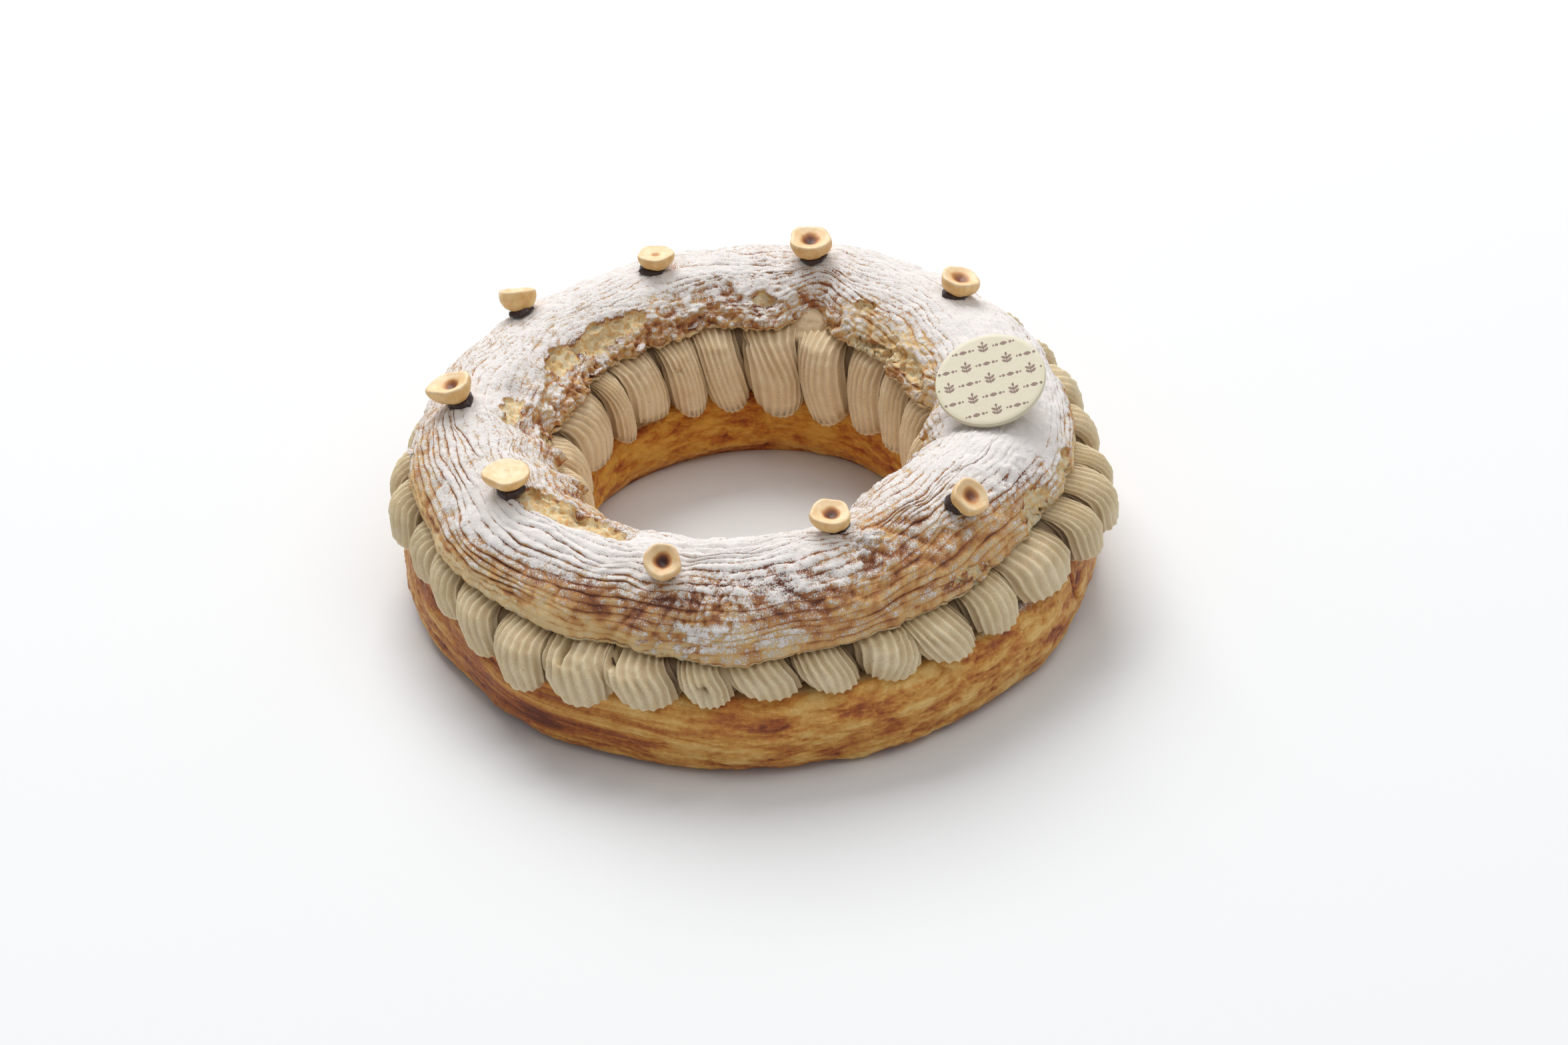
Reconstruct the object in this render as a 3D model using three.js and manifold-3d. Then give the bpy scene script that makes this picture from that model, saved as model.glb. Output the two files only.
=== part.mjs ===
// Paris-brest: a ring of choux pastry, cut through level and filled with two rows of piped praline
// shells. The lid is the upper part of the baked ring. Nine hazelnut halves and one white chocolate
// disc stand on it, each on a dab of dark chocolate.
//
// Millimetres and degrees, +Z up, +X right, -Y front. The origin is the middle of the hole, on the
// table. Angles run anticlockwise from +X, seen from above.
import * as THREE from "three";
import { mergeVertices } from "three/addons/utils/BufferGeometryUtils.js";
import Module from "manifold-3d";

const wasm = await Module();
wasm.setup();

// ---- Driving dimensions -------------------------------------------------------------------------

const GAP = 0.3; // between pieces that touch in the real pastry
const CREAM_GAP = 0.6; // between cream and crust, whose facets differ in size

const BASE = {
  radius: 112, // at the bulge of the outer wall
  holeRadius: 55, // at the bulge of the inner wall
  height: 26.5, // of the cut face that carries the cream
  uneven: 0.45,
  columns: 80,
};
const BASE_SWELLS = [
  { angle: -72, width: 34, by: 2.3 },
  { angle: -152, width: 14, by: -1.5 },
];
// The walls as [distance in from the bulge, height], the outer one going up, the inner one down.
const BASE_OUTER_WALL = [
  [6.5, 0],
  [2, 2.6],
  [0.5, 7],
  [0, 13],
  [0.8, 19.5],
  [2.8, 23.8],
  [6, BASE.height],
];
const BASE_INNER_WALL = [
  [6, BASE.height],
  [1.8, 23],
  [0.2, 17],
  [0, 11],
  [1.2, 5],
  [4.5, 0],
];

// The lid lies on soft cream. It tips up towards the back and a little towards the right, and it
// sags most at the front, where its crown is also thicker than at the back.
const LID = {
  centreX: -1.2,
  rimHeight: 47.8, // of the widest edge, above the middle of the hole
  slopeX: 0.0263,
  slopeY: 0.0492,
  bendY: -0.00023, // per millimetre
  radius: 105.6,
  holeRadius: 58,
  rise: 15, // from the widest edge to the crown
  frontRise: 3, // more at the front, and less at the back
  outerFlank: 1.25, // above 1, the flank falls away faster than an ellipse
  innerFlank: 1.5,
  skirt: 1.8, // from the widest edge down to the cut face
  undercut: 1.4, // of the cut face's edges
  uneven: 0.7,
  crag: 0.45,
  columns: 120,
  arcSteps: 10,
};

// Stretches of both rows that stand out further, and that hang further over the base's edge.
const OUTER_SWELLS = [
  { angle: -18, width: 13, by: 7.8 },
  { angle: -50, width: 16, by: 1.8 },
  { angle: -126, width: 19, by: 5.2 },
  { angle: -174, width: 8, by: 4 },
];
const OUTER_DROOPS = [
  { angle: -126, width: 19, by: 6.2 },
  { angle: -50, width: 20, by: 1 },
];
const INNER_SWELLS = [{ angle: 70, width: 40, by: 1.4 }];
const INNER_DROOPS = [{ angle: 65, width: 33, by: 4 }];

// The outer and the inner row of shells. The radius is that of the bulge, crease the depth of the
// groove between two shells, flute the depth of the grooves that the star nozzle leaves in a shell,
// droop how far a shell's tip hangs below the base's cut face, lean how far its top is turned round
// the ring, and shifts the creases that are out of step.
const OUTER_SHELLS = {
  count: 35,
  firstCrease: -165.7,
  shifts: { 5: 1.4, 6: 2, 8: 1, 13: 3.8, 14: 1.1, 16: -2.9, 17: -2.8 },
  radius: 112.4,
  footRadius: 106.5, // where the shells' feet meet the base's cut face
  topRadius: 101, // where their tops meet the lid's cut face
  crease: 6.5,
  flute: 1.3,
  droop: 0.4,
  lean: -2.6,
  uneven: 0.9,
  swells: OUTER_SWELLS,
  droops: OUTER_DROOPS,
};
const INNER_SHELLS = {
  count: 22,
  firstCrease: 33.5,
  shifts: { 2: 1.1, 3: 4.1, 4: 2.9, 7: -6.6 },
  radius: 50.8,
  footRadius: 60,
  topRadius: 65,
  crease: 5.4,
  flute: 1.1,
  droop: 4.4,
  lean: 3.2,
  uneven: 0.8,
  swells: INNER_SWELLS,
  droops: INNER_DROOPS,
};
const FLUTES = 4;
// A shell's profile from its foot to its top: how far it stands back from the bulge, its share of
// the height, and how strongly the creases and flutes cut into it.
const SHELL_PROFILE = [
  { back: 2.8, share: 0, crease: 1, flute: 0.6 },
  { back: 0.4, share: 0.22, crease: 1, flute: 1 },
  { back: 0.2, share: 0.55, crease: 1, flute: 1 },
  { back: 3, share: 0.86, crease: 0.7, flute: 0.7 },
];

// Stretches of the lid's edges that stand out or in.
const LID_RIM_CHANGES = [
  { angle: -94, width: 7, by: 2.7 },
  { angle: -114.5, width: 5, by: -3.6 },
  { angle: 174, width: 6, by: 1.2 },
  { angle: 30, width: 25, by: -2.5 },
  { angle: 90, width: 50, by: -2 },
  { angle: 120, width: 16, by: -1.5 },
];
const LID_HOLE_CHANGES = [
  { angle: 67, width: 7, by: 10 },
  { angle: 97, width: 14, by: 2.5 },
  { angle: 130, width: 12, by: 2.5 },
  { angle: 27, width: 12, by: -3.5 },
  { angle: -44, width: 13, by: -4 },
  { angle: 172, width: 7, by: 3 },
];

// Torn hollows of the lid's crust, and folds where by is above zero: place, size along the ring and
// across it, and the change in height.
const LID_RELIEF = [
  { angle: -146, radius: 79, along: 7, across: 4.5, by: -3.6 },
  { angle: -134, radius: 74.5, along: 8, across: 4.5, by: -5 },
  { angle: -122, radius: 73, along: 6, across: 4, by: -3.4 },
  { angle: 178, radius: 67, along: 9, across: 5, by: -3.4 },
  { angle: 167, radius: 73, along: 6, across: 4, by: -3.2 },
  { angle: 150, radius: 64, along: 7, across: 4.5, by: -3.8 },
  { angle: 132, radius: 64, along: 9, across: 4, by: -3.6 },
  { angle: 114, radius: 66, along: 8, across: 3.5, by: 1.6 },
  { angle: 92, radius: 72, along: 9, across: 3.5, by: 1.5 },
  { angle: 78, radius: 64, along: 6, across: 4, by: -2.2 },
  { angle: 2, radius: 82, along: 10, across: 9, by: 3 },
  { angle: -14, radius: 84, along: 8, across: 9, by: -1.4 },
  { angle: -32, radius: 103, along: 7, across: 4, by: -2.6 },
  { angle: -56, radius: 84, along: 6, across: 7, by: 1.4 },
  { angle: -67, radius: 90, along: 3.5, across: 11, by: -2 },
  { angle: -88, radius: 69, along: 7, across: 4, by: 1.2 },
];

// Hazelnut halves, clockwise from the back left: place on the lid, width, depth below the cut face,
// how far the cut face leans from level and towards which angle, how far the nut stands off the
// crust, towards which angle its dab squeezes out, and how far its outline draws out to a tip.
const NUTS = [
  { angle: 138.2, radius: 95.4, width: 12.1, depth: 7.2, lean: 26, facing: 92, stand: 0.5, dab: -20 },
  { angle: 107.3, radius: 83.6, width: 12, depth: 5.4, lean: 5, facing: 90, stand: 0.9, dab: -170 },
  { angle: 71.4, radius: 84.2, width: 14, depth: 7, lean: 4, facing: -90, stand: 0.9, dab: -70 },
  { angle: 34.5, radius: 89, width: 12.6, depth: 6.4, lean: 12, facing: 0, stand: 0.7, dab: -130 },
  { angle: -45, radius: 92.1, width: 11.6, depth: 6.2, lean: 36, facing: -45, stand: 0.5, dab: 170 },
  { angle: -70.6, radius: 74.8, width: 12.4, depth: 6, lean: 5, facing: -80, stand: 0.5, dab: 20 },
  { angle: -107.1, radius: 87.9, width: 11.3, depth: 6, lean: 32, facing: -90, stand: 0.5, dab: 90 },
  { angle: -151.9, radius: 82.4, width: 14.5, depth: 4.8, lean: 2, facing: 90, stand: 1.4, dab: -60 },
  { angle: 172.8, radius: 90.5, width: 13, depth: 7, lean: 14, facing: 170, stand: 0.7, dab: -30,
    tip: 0.25 },
];
const NUT_SIDES = 11;
// The half nut's outline from the middle of the cut face over the rim to the bottom, as shares of
// the half width and of the depth.
const NUT_OUTLINE = [
  [0.2, -0.2],
  [0.55, -0.07],
  [0.92, 0],
  [1, -0.1],
  [0.97, -0.38],
  [0.78, -0.76],
  [0.38, -1],
];

const DAB = { radius: 5, height: 3.4, sides: 7, squeeze: 1.4 };

// The white chocolate disc leans towards the front left, propped on a dab under its raised side.
const DISC = {
  angle: -10.2,
  radius: 79.6,
  width: 35,
  thickness: 1.7,
  lean: 22,
  facing: -121,
  stand: 0.7,
  sides: 36,
};
const DISC_DAB = { radius: 5, height: 11, back: 4.5 };

const COLOURS = {
  base: 0xc98a3e,
  cream: 0xcdbd98,
  lid: 0xe4d3bf,
  nut: 0xe6c27a,
  chocolate: 0x2c1a16,
  disc: 0xf1eecb,
};

// ---- Small helpers ------------------------------------------------------------------------------

const radians = THREE.MathUtils.degToRad;
const lerp = THREE.MathUtils.lerp;

// Degrees from one angle round to another, between -180 and 180.
function turn(from, to) {
  return THREE.MathUtils.euclideanModulo(to - from + 180, 360) - 180;
}

// A random number source that gives the same draws every time.
function seeded(seed) {
  let state = seed;
  return () => {
    state = (state * 1664525 + 1013904223) % 4294967296;
    return state / 4294967296;
  };
}

// A smooth closed wave round the ring, between about -1 and 1.
function ringWave(seed, slowest, fastest) {
  const random = seeded(seed);
  const waves = [];
  for (let cycles = slowest; cycles <= fastest; cycles += 1)
    waves.push({ cycles, phase: 360 * random() });
  return (angle) => {
    let sum = 0;
    for (const wave of waves) sum += Math.cos(radians(wave.cycles * angle + wave.phase));
    return sum / Math.sqrt(waves.length);
  };
}

// The sum of the local changes at one angle.
function changeAt(changes, angle) {
  let sum = 0;
  for (const change of changes)
    sum += change.by * Math.exp(-((turn(change.angle, angle) / change.width) ** 2));
  return sum;
}

function ringPoint(radius, angle, height) {
  return new THREE.Vector3(
    radius * Math.cos(radians(angle)),
    radius * Math.sin(radians(angle)),
    height,
  );
}

function facetedGeometry(points, triangles) {
  const geometry = new THREE.BufferGeometry();
  const positions = points.flatMap((point) => point.toArray());
  geometry.setAttribute("position", new THREE.Float32BufferAttribute(positions, 3));
  geometry.setIndex(triangles);
  geometry.computeVertexNormals();
  return geometry;
}

// Two triangles for each cell of a grid of columns that goes round the ring. closed joins the last
// row to the first, and start is the index of the first point.
function gridTriangles(columns, rows, closed, start = 0) {
  const triangles = [];
  const bands = closed ? rows : rows - 1;
  for (let i = 0; i < columns; i += 1) {
    const here = start + i * rows;
    const next = start + ((i + 1) % columns) * rows;
    for (let j = 0; j < bands; j += 1) {
      const up = (j + 1) % rows;
      triangles.push(here + j, next + j, next + up);
      triangles.push(here + j, next + up, here + up);
    }
  }
  return triangles;
}

// A ring whose sections are closed loops, anticlockwise with the axis on their left.
function ringGeometry(columns, sectionAt) {
  const sections = [];
  for (let i = 0; i < columns; i += 1) sections.push(sectionAt((360 * i) / columns));
  const triangles = gridTriangles(columns, sections[0].length, true);
  return facetedGeometry(sections.flat(), triangles);
}

// The upward band between two closed loops of unlike counts. A loop is a list of indices with
// their angles, from 0 to 360.
function bandTriangles(outerLoop, innerLoop) {
  const [outer, inner] = [outerLoop, innerLoop].map((loop) => [
    ...loop,
    { index: loop[0].index, angle: loop[0].angle + 360 },
  ]);
  const triangles = [];
  let a = 0;
  let b = 0;
  while (a < outerLoop.length || b < innerLoop.length) {
    const outerIsNext =
      b === innerLoop.length ||
      (a < outerLoop.length && outer[a + 1].angle <= inner[b + 1].angle);
    if (outerIsNext) {
      triangles.push(outer[a].index, outer[a + 1].index, inner[b].index);
      a += 1;
    } else {
      triangles.push(outer[a].index, inner[b + 1].index, inner[b].index);
      b += 1;
    }
  }
  return triangles;
}

function solidOf(geometry) {
  const bare = geometry.clone();
  for (const name of Object.keys(bare.attributes))
    if (name !== "position") bare.deleteAttribute(name);
  const merged = mergeVertices(bare);
  return new wasm.Manifold(
    new wasm.Mesh({
      numProp: 3,
      vertProperties: merged.getAttribute("position").array,
      triVerts: new Uint32Array(merged.index.array),
    }),
  );
}

function geometryOf(solid) {
  const mesh = solid.getMesh();
  const geometry = new THREE.BufferGeometry();
  geometry.setAttribute("position", new THREE.BufferAttribute(mesh.vertProperties, 3));
  geometry.setIndex(new THREE.BufferAttribute(mesh.triVerts, 1));
  geometry.computeVertexNormals();
  return geometry;
}

function namedMesh(name, geometry, color, roughness) {
  const material = new THREE.MeshStandardMaterial({ color, roughness, metalness: 0 });
  const mesh = new THREE.Mesh(geometry, material);
  mesh.name = name;
  return mesh;
}

// ---- Base ---------------------------------------------------------------------------------------

function baseGeometry() {
  const outerWave = ringWave(11, 3, 12);
  const innerWave = ringWave(12, 3, 9);
  return ringGeometry(BASE.columns, (angle) => {
    const outer = BASE.radius + changeAt(BASE_SWELLS, angle) + BASE.uneven * outerWave(angle);
    const inner = BASE.holeRadius + BASE.uneven * innerWave(angle);
    return [
      ...BASE_OUTER_WALL.map(([back, height]) => ringPoint(outer - back, angle, height)),
      ...BASE_INNER_WALL.map(([back, height]) => ringPoint(inner + back, angle, height)),
    ];
  });
}

// ---- Lid ----------------------------------------------------------------------------------------

// Height of the lid's widest edge, as a surface that goes on over the hole.
function lidPlane(x, y) {
  return LID.rimHeight + LID.slopeX * x + LID.slopeY * y + LID.bendY * y ** 2;
}

function lidPoint(radius, angle, rise) {
  const point = ringPoint(radius, angle, rise);
  point.x += LID.centreX;
  point.z += lidPlane(point.x, point.y);
  return point;
}

function lidRelief(radius, angle) {
  let sum = 0;
  for (const spot of LID_RELIEF) {
    const along = (radians(turn(spot.angle, angle)) * radius) / spot.along;
    const across = (radius - spot.radius) / spot.across;
    sum += spot.by * Math.exp(-(along ** 2) - across ** 2);
  }
  return sum;
}

function lidGeometry() {
  const rimWave = ringWave(21, 5, 19);
  const holeWave = ringWave(22, 6, 24);
  const riseWave = ringWave(23, 2, 7);
  const random = seeded(24);
  return ringGeometry(LID.columns, (angle) => {
    const outer = LID.radius + changeAt(LID_RIM_CHANGES, angle) + LID.uneven * rimWave(angle);
    const inner =
      LID.holeRadius + changeAt(LID_HOLE_CHANGES, angle) + 1.5 * LID.uneven * holeWave(angle);
    const toFront = -Math.sin(radians(angle));
    const rise = LID.rise + LID.frontRise * toFront + LID.uneven * riseWave(angle);
    const section = [
      lidPoint(inner + LID.undercut, angle, -LID.skirt),
      lidPoint(outer - LID.undercut, angle, -LID.skirt),
    ];
    for (let step = 0; step <= LID.arcSteps; step += 1) {
      const arc = (Math.PI * step) / LID.arcSteps;
      const radius = lerp(inner, outer, (1 + Math.cos(arc)) / 2);
      const crag = LID.crag * (2 * random() - 1);
      const flank = Math.cos(arc) > 0 ? LID.outerFlank : LID.innerFlank;
      const dome = Math.sin(arc) ** flank * (rise + lidRelief(radius, angle)) + crag;
      section.push(lidPoint(radius + crag, angle, dome));
    }
    return section;
  });
}

// ---- Cream --------------------------------------------------------------------------------------

// The columns of one row of shells, in order of angle. Each knows its place across its shell, from
// 0 at one crease to 1 at the next, and its shell's own size and lean.
function shellColumns(row, seed) {
  const random = seeded(seed);
  const creaseAt = (i) => {
    const shift = row.shifts[i % row.count] ?? 0;
    return row.firstCrease + (360 * i) / row.count + shift;
  };
  const perShell = 2 * FLUTES;
  const columns = [];
  for (let i = 0; i < row.count; i += 1) {
    const swell = row.uneven * (2 * random() - 1);
    const lean = row.lean * (0.5 + random());
    for (let k = 0; k < perShell; k += 1) {
      const angle = lerp(creaseAt(i), creaseAt(i + 1), k / perShell);
      columns.push({
        angle: THREE.MathUtils.euclideanModulo(angle, 360),
        across: k / perShell,
        groove: k % 2 === 0 && k > 0 ? 1 : 0,
        swell,
        lean,
      });
    }
  }
  return columns.sort((a, b) => a.angle - b.angle);
}

function creamTop(point) {
  return lidPlane(point.x, point.y) - LID.skirt - CREAM_GAP;
}

// The points of one column from foot to top. side is 1 on the outer row and -1 on the inner one.
function shellColumnPoints(row, side, column) {
  const { angle, across, groove } = column;
  const crown = Math.sqrt(Math.sin(Math.PI * across));
  const swell = column.swell + changeAt(row.swells, angle);
  const bulge = row.radius + side * swell;
  const droop = row.droop + changeAt(row.droops, angle);
  const floor = BASE.height + CREAM_GAP;
  const tip = floor - crown ** 3 * droop;
  const top = ringPoint(row.topRadius, angle, 0);
  top.z = creamTop(top);

  const points = [];
  for (const level of SHELL_PROFILE) {
    const cut =
      level.back + level.crease * row.crease * (1 - crown) + level.flute * row.flute * groove;
    const height = lerp(tip, top.z, level.share);
    points.push(ringPoint(bulge - side * cut, angle + column.lean * level.share, height));
  }
  const tipRadius = Math.hypot(points[0].x, points[0].y);
  const footRadius =
    side > 0
      ? Math.min(row.footRadius, tipRadius - 1)
      : Math.max(row.footRadius, tipRadius + 1);
  return [ringPoint(footRadius, angle, floor), ...points, top];
}

function creamGeometry() {
  const outerColumns = shellColumns(OUTER_SHELLS, 31);
  const innerColumns = shellColumns(INNER_SHELLS, 32);
  const outer = outerColumns.map((column) => shellColumnPoints(OUTER_SHELLS, 1, column));
  const inner = innerColumns.map((column) =>
    shellColumnPoints(INNER_SHELLS, -1, column).reverse(),
  );
  const rows = outer[0].length;
  const innerStart = outer.length * rows;
  const loopAt = (columns, start, row) =>
    columns.map(({ angle }, i) => ({ index: start + i * rows + row, angle }));

  const top = bandTriangles(
    loopAt(outerColumns, 0, rows - 1),
    loopAt(innerColumns, innerStart, 0),
  );
  const bottom = bandTriangles(
    loopAt(outerColumns, 0, 0),
    loopAt(innerColumns, innerStart, rows - 1),
  ).reverse();
  return facetedGeometry(
    [...outer.flat(), ...inner.flat()],
    [
      ...gridTriangles(outer.length, rows, false),
      ...gridTriangles(inner.length, rows, false, innerStart),
      ...top,
      ...bottom,
    ],
  );
}

// ---- Toppings -----------------------------------------------------------------------------------

// The turn that takes +Z to a direction that leans from upright towards an angle.
function leaning(lean, facing) {
  const direction = ringPoint(Math.sin(radians(lean)), facing, Math.cos(radians(lean)));
  return new THREE.Quaternion().setFromUnitVectors(new THREE.Vector3(0, 0, 1), direction);
}

// A surface of revolution round Z whose outline goes from the axis down to the axis again, with its
// circle drawn in and out by stretch(angle).
function roundedGeometry(outline, sides, stretch) {
  const points = [];
  for (let i = 0; i < sides; i += 1) {
    const angle = (360 * i) / sides;
    for (const [radius, height] of outline)
      points.push(ringPoint(radius * stretch(angle), angle, height));
  }
  const rows = outline.length;
  const triangles = gridTriangles(sides, rows, false);
  const [top, bottom] = [points.length, points.length + 1];
  points.push(new THREE.Vector3(0, 0, outline[0][1]));
  points.push(new THREE.Vector3(0, 0, outline[rows - 1][1]));
  for (let i = 0; i < sides; i += 1) {
    const here = i * rows;
    const next = ((i + 1) % sides) * rows;
    triangles.push(top, next, here);
    triangles.push(bottom, here + rows - 1, next + rows - 1);
  }
  return facetedGeometry(points, triangles.reverse());
}

function nutGeometry(nut, seed) {
  const wave = ringWave(seed, 2, 5);
  const stretch = (angle) => {
    const tip = (nut.tip ?? 0) * Math.max(0, Math.cos(radians(angle - 180))) ** 6;
    return 1 + 0.05 * wave(angle) + tip;
  };
  const outline = NUT_OUTLINE.map(([across, up]) => [
    (across * nut.width) / 2,
    up * nut.depth,
  ]);
  return roundedGeometry(outline, NUT_SIDES, stretch);
}

// Height of the lid's crust at a place, or -Infinity beside the lid.
function crustHeight(lid, x, y) {
  const above = 200;
  const ray = new THREE.Raycaster(
    new THREE.Vector3(x, y, above),
    new THREE.Vector3(0, 0, -1),
  );
  const [hit] = ray.intersectObject(lid);
  return hit ? hit.point.z : -Infinity;
}

// Lowers a turned geometry over a place on the lid until it stands off the crust by so much.
function setDown(geometry, lid, place, stand) {
  geometry.translate(place.x, place.y, 0);
  const corners = geometry.getAttribute("position");
  let drop = Infinity;
  for (let i = 0; i < corners.count; i += 1) {
    const height = crustHeight(lid, corners.getX(i), corners.getY(i));
    drop = Math.min(drop, corners.getZ(i) - height - stand);
  }
  return geometry.translate(0, 0, -drop);
}

// A dab of chocolate over a place on the lid, moulded to the crust below it and to what stands in it.
function dabGeometry(size, lid, place, topping) {
  const outline = [
    [0.5 * size.radius, size.height],
    [size.radius, 0.4 * size.height],
    [0.7 * size.radius, -size.height],
  ];
  const wave = ringWave(Math.round(place.x) + 500, 2, 4);
  const dab = roundedGeometry(outline, DAB.sides, (angle) => 1 + 0.08 * wave(angle));
  dab.translate(place.x, place.y, crustHeight(lid, place.x, place.y));
  const crust = solidOf(lid.geometry).translate([0, 0, GAP]);
  const under = solidOf(topping).translate([0, 0, -GAP]);
  const whole = solidOf(dab).subtract(crust).subtract(under);
  const pieces = whole.decompose().sort((a, b) => b.volume() - a.volume());
  return geometryOf(pieces[0]);
}

function nutMeshes(lid) {
  const meshes = [];
  NUTS.forEach((nut, i) => {
    const place = lidPoint(nut.radius, nut.angle, 0);
    const geometry = nutGeometry(nut, 40 + i);
    const offset = ringPoint(nut.depth * Math.sin(radians(nut.lean)), nut.facing, 0);
    geometry.applyQuaternion(leaning(nut.lean, nut.facing));
    setDown(geometry, lid, place.clone().add(offset), nut.stand);
    meshes.push(namedMesh(`hazelnut_${i + 1}`, geometry, COLOURS.nut, 0.55));
    const dabPlace = place.clone().add(ringPoint(DAB.squeeze, nut.dab, 0));
    const dab = dabGeometry(DAB, lid, dabPlace, geometry);
    meshes.push(namedMesh(`chocolate_dab_${i + 1}`, dab, COLOURS.chocolate, 0.35));
  });
  return meshes;
}

function discMeshes(lid) {
  const place = lidPoint(DISC.radius, DISC.angle, 0);
  const geometry = new THREE.CylinderGeometry(
    DISC.width / 2,
    DISC.width / 2,
    DISC.thickness,
    DISC.sides,
  );
  geometry.rotateX(Math.PI / 2);
  geometry.applyQuaternion(leaning(DISC.lean, DISC.facing));
  setDown(geometry, lid, place, DISC.stand);
  const propPlace = place.clone().sub(ringPoint(DISC_DAB.back, DISC.facing, 0));
  const prop = dabGeometry(DISC_DAB, lid, propPlace, geometry);
  return [
    namedMesh("white_chocolate_disc", geometry, COLOURS.disc, 0.4),
    namedMesh(`chocolate_dab_${NUTS.length + 1}`, prop, COLOURS.chocolate, 0.35),
  ];
}

// ---- The whole pastry ---------------------------------------------------------------------------

const pastry = new THREE.Group();
const lid = namedMesh("lid_choux", lidGeometry(), COLOURS.lid, 0.85);
pastry.add(namedMesh("base_choux", baseGeometry(), COLOURS.base, 0.7));
pastry.add(namedMesh("praline_cream", creamGeometry(), COLOURS.cream, 0.6));
pastry.add(lid);
pastry.add(...nutMeshes(lid));
pastry.add(...discMeshes(lid));

export default pastry;
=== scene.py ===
"""A paris-brest pastry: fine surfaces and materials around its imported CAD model.

Lengths are millimetres and angles degrees until a mesh is made; Blender's objects are in metres.
+Z is up, +X right and -Y front. The origin is the middle of the hole, on the table. Angles run
anticlockwise from +X, seen from above. The sizes of the base, the lid and the rows of shells are
those of the CAD source, so that the pieces here keep the solids' form.
"""
import math
from itertools import combinations, product
from types import SimpleNamespace as Values

import bpy
import numpy as np
from mathutils import Matrix, Vector


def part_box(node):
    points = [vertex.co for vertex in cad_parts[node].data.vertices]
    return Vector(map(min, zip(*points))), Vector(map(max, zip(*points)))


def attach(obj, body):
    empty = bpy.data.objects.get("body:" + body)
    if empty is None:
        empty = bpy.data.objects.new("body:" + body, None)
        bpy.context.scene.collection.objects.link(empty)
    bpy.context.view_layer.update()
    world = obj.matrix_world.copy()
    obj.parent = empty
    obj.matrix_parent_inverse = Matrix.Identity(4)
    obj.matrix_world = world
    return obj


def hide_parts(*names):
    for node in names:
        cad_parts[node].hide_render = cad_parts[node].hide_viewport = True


MM = 0.001


def table(names, rows):
    """Rows of numbers as values with names."""
    return [Values(**dict(zip(names.split(), row))) for row in rows]


# ---- Camera, floor and light ----

CAMERA = Values(
    elevation=36.499,
    distance=1152.74,
    aim_right=0.009186,  # turns the view away from the origin, as shares of the distance
    aim_up=0.008346,
    roll=-3.39,
    lens=81.123,
    sensor=36,
)
FLOOR = Values(size=3000, colour=(226, 227, 228))
ROOM_LIGHT = 0.38
SOFTBOXES = [  # name, place and size in metres, power
    ("window_behind", (-0.7, 3.4, 3.9), 3.6, 275),
    ("room_above", (1.8, -0.3, 4.6), 4.2, 66),
]

# ---- The base ----

BASE = Values(radius=112, hole_radius=55, height=26.5, uneven=0.45)
BASE_SWELLS = [(-72, 34, 2.3), (-152, 14, -1.5)]  # angle, width, by
# The walls as (distance in from the bulge, height), the outer one going up, the inner one down.
BASE_OUTER_WALL = [(6.5, 0), (2, 2.6), (0.5, 7), (0, 13), (0.8, 19.5), (2.8, 23.8), (6, 26.5)]
BASE_INNER_WALL = [(6, 26.5), (1.8, 23), (0.2, 17), (0, 11), (1.2, 5), (4.5, 0)]
BASE_COLUMNS = 900
BASE_SHELF_ROWS = np.array([0.07, 0.16, 0.28, 0.45, 0.7, 0.9])  # across the cut face, from its rim
BASE_FOOT_ROWS = np.array([0.25, 0.5, 0.75])
BASE_BAKED = [(-138, 34, 0.33), (-62, 20, 0.06), (-20, 16, 0.12), (60, 50, -0.05)]  # angle, width, by
BASE_SUGARED = [(-20, 34, 0.9), (130, 16, 0.8), (-170, 14, 0.4), (-70, 60, 0.3)]
# Torn pockets at the top of the hole's wall: angle, height, length, width up, depth.
BASE_POCKETS = [(127, 24.2, 4.5, 2, 1.8), (120.5, 23.4, 3, 2, 1.3)]

# ---- The cream ----

CREAM_GAP = 0.6  # between cream and crust in the CAD model
# The profile runs from under the tip to the top, as how far back from the bulge and the share of
# the height. Air holes are angle, height, radius and depth.
OUTER_SHELLS = Values(
    count=35,
    first_crease=-165.7,
    shifts={5: 1.4, 6: 2, 8: 1, 13: 3.8, 14: 1.1, 16: -2.9, 17: -2.8},
    radius=112.4,
    foot_radius=106.5,
    top_radius=101,
    core_radius=84,
    crease=8.2,
    flute=1.35,
    flutes=10,
    levels=36,
    profile=[(6.5, 0.1), (3.4, 0.01), (1.2, 0.07), (0.1, 0.27), (0, 0.45), (0.9, 0.67), (3.2, 0.86),
             (7, 0.96), (11.4, 1)],
    widths=[(0, 0.82), (0.12, 0.95), (0.4, 1.08), (0.7, 1.05), (0.9, 0.98), (1, 0.94)],
    droop=0.4,
    lean=-2.6,
    uneven=0.9,
    swells=[(-18, 13, 7.8), (-50, 16, 1.8), (-126, 19, 5.2), (-174, 8, 4)],
    droops=[(-126, 19, 6.2), (-50, 20, 1)],
    twists={9: 1.0, 6: -0.2, 5: 0.1, 10: -0.2},
    bends={9: 0},
    slumps={4: 0.6, 6: 0.2, 9: 0.3},
    air_holes=[(-98.9, 33.2, 1.5, 4), (-38.9, 36, 0.9, 2), (-114.2, 37.5, 1.4, 3), (-122.6, 37, 1.5, 4)],
    seed=31,
    side=1,
)
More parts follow.
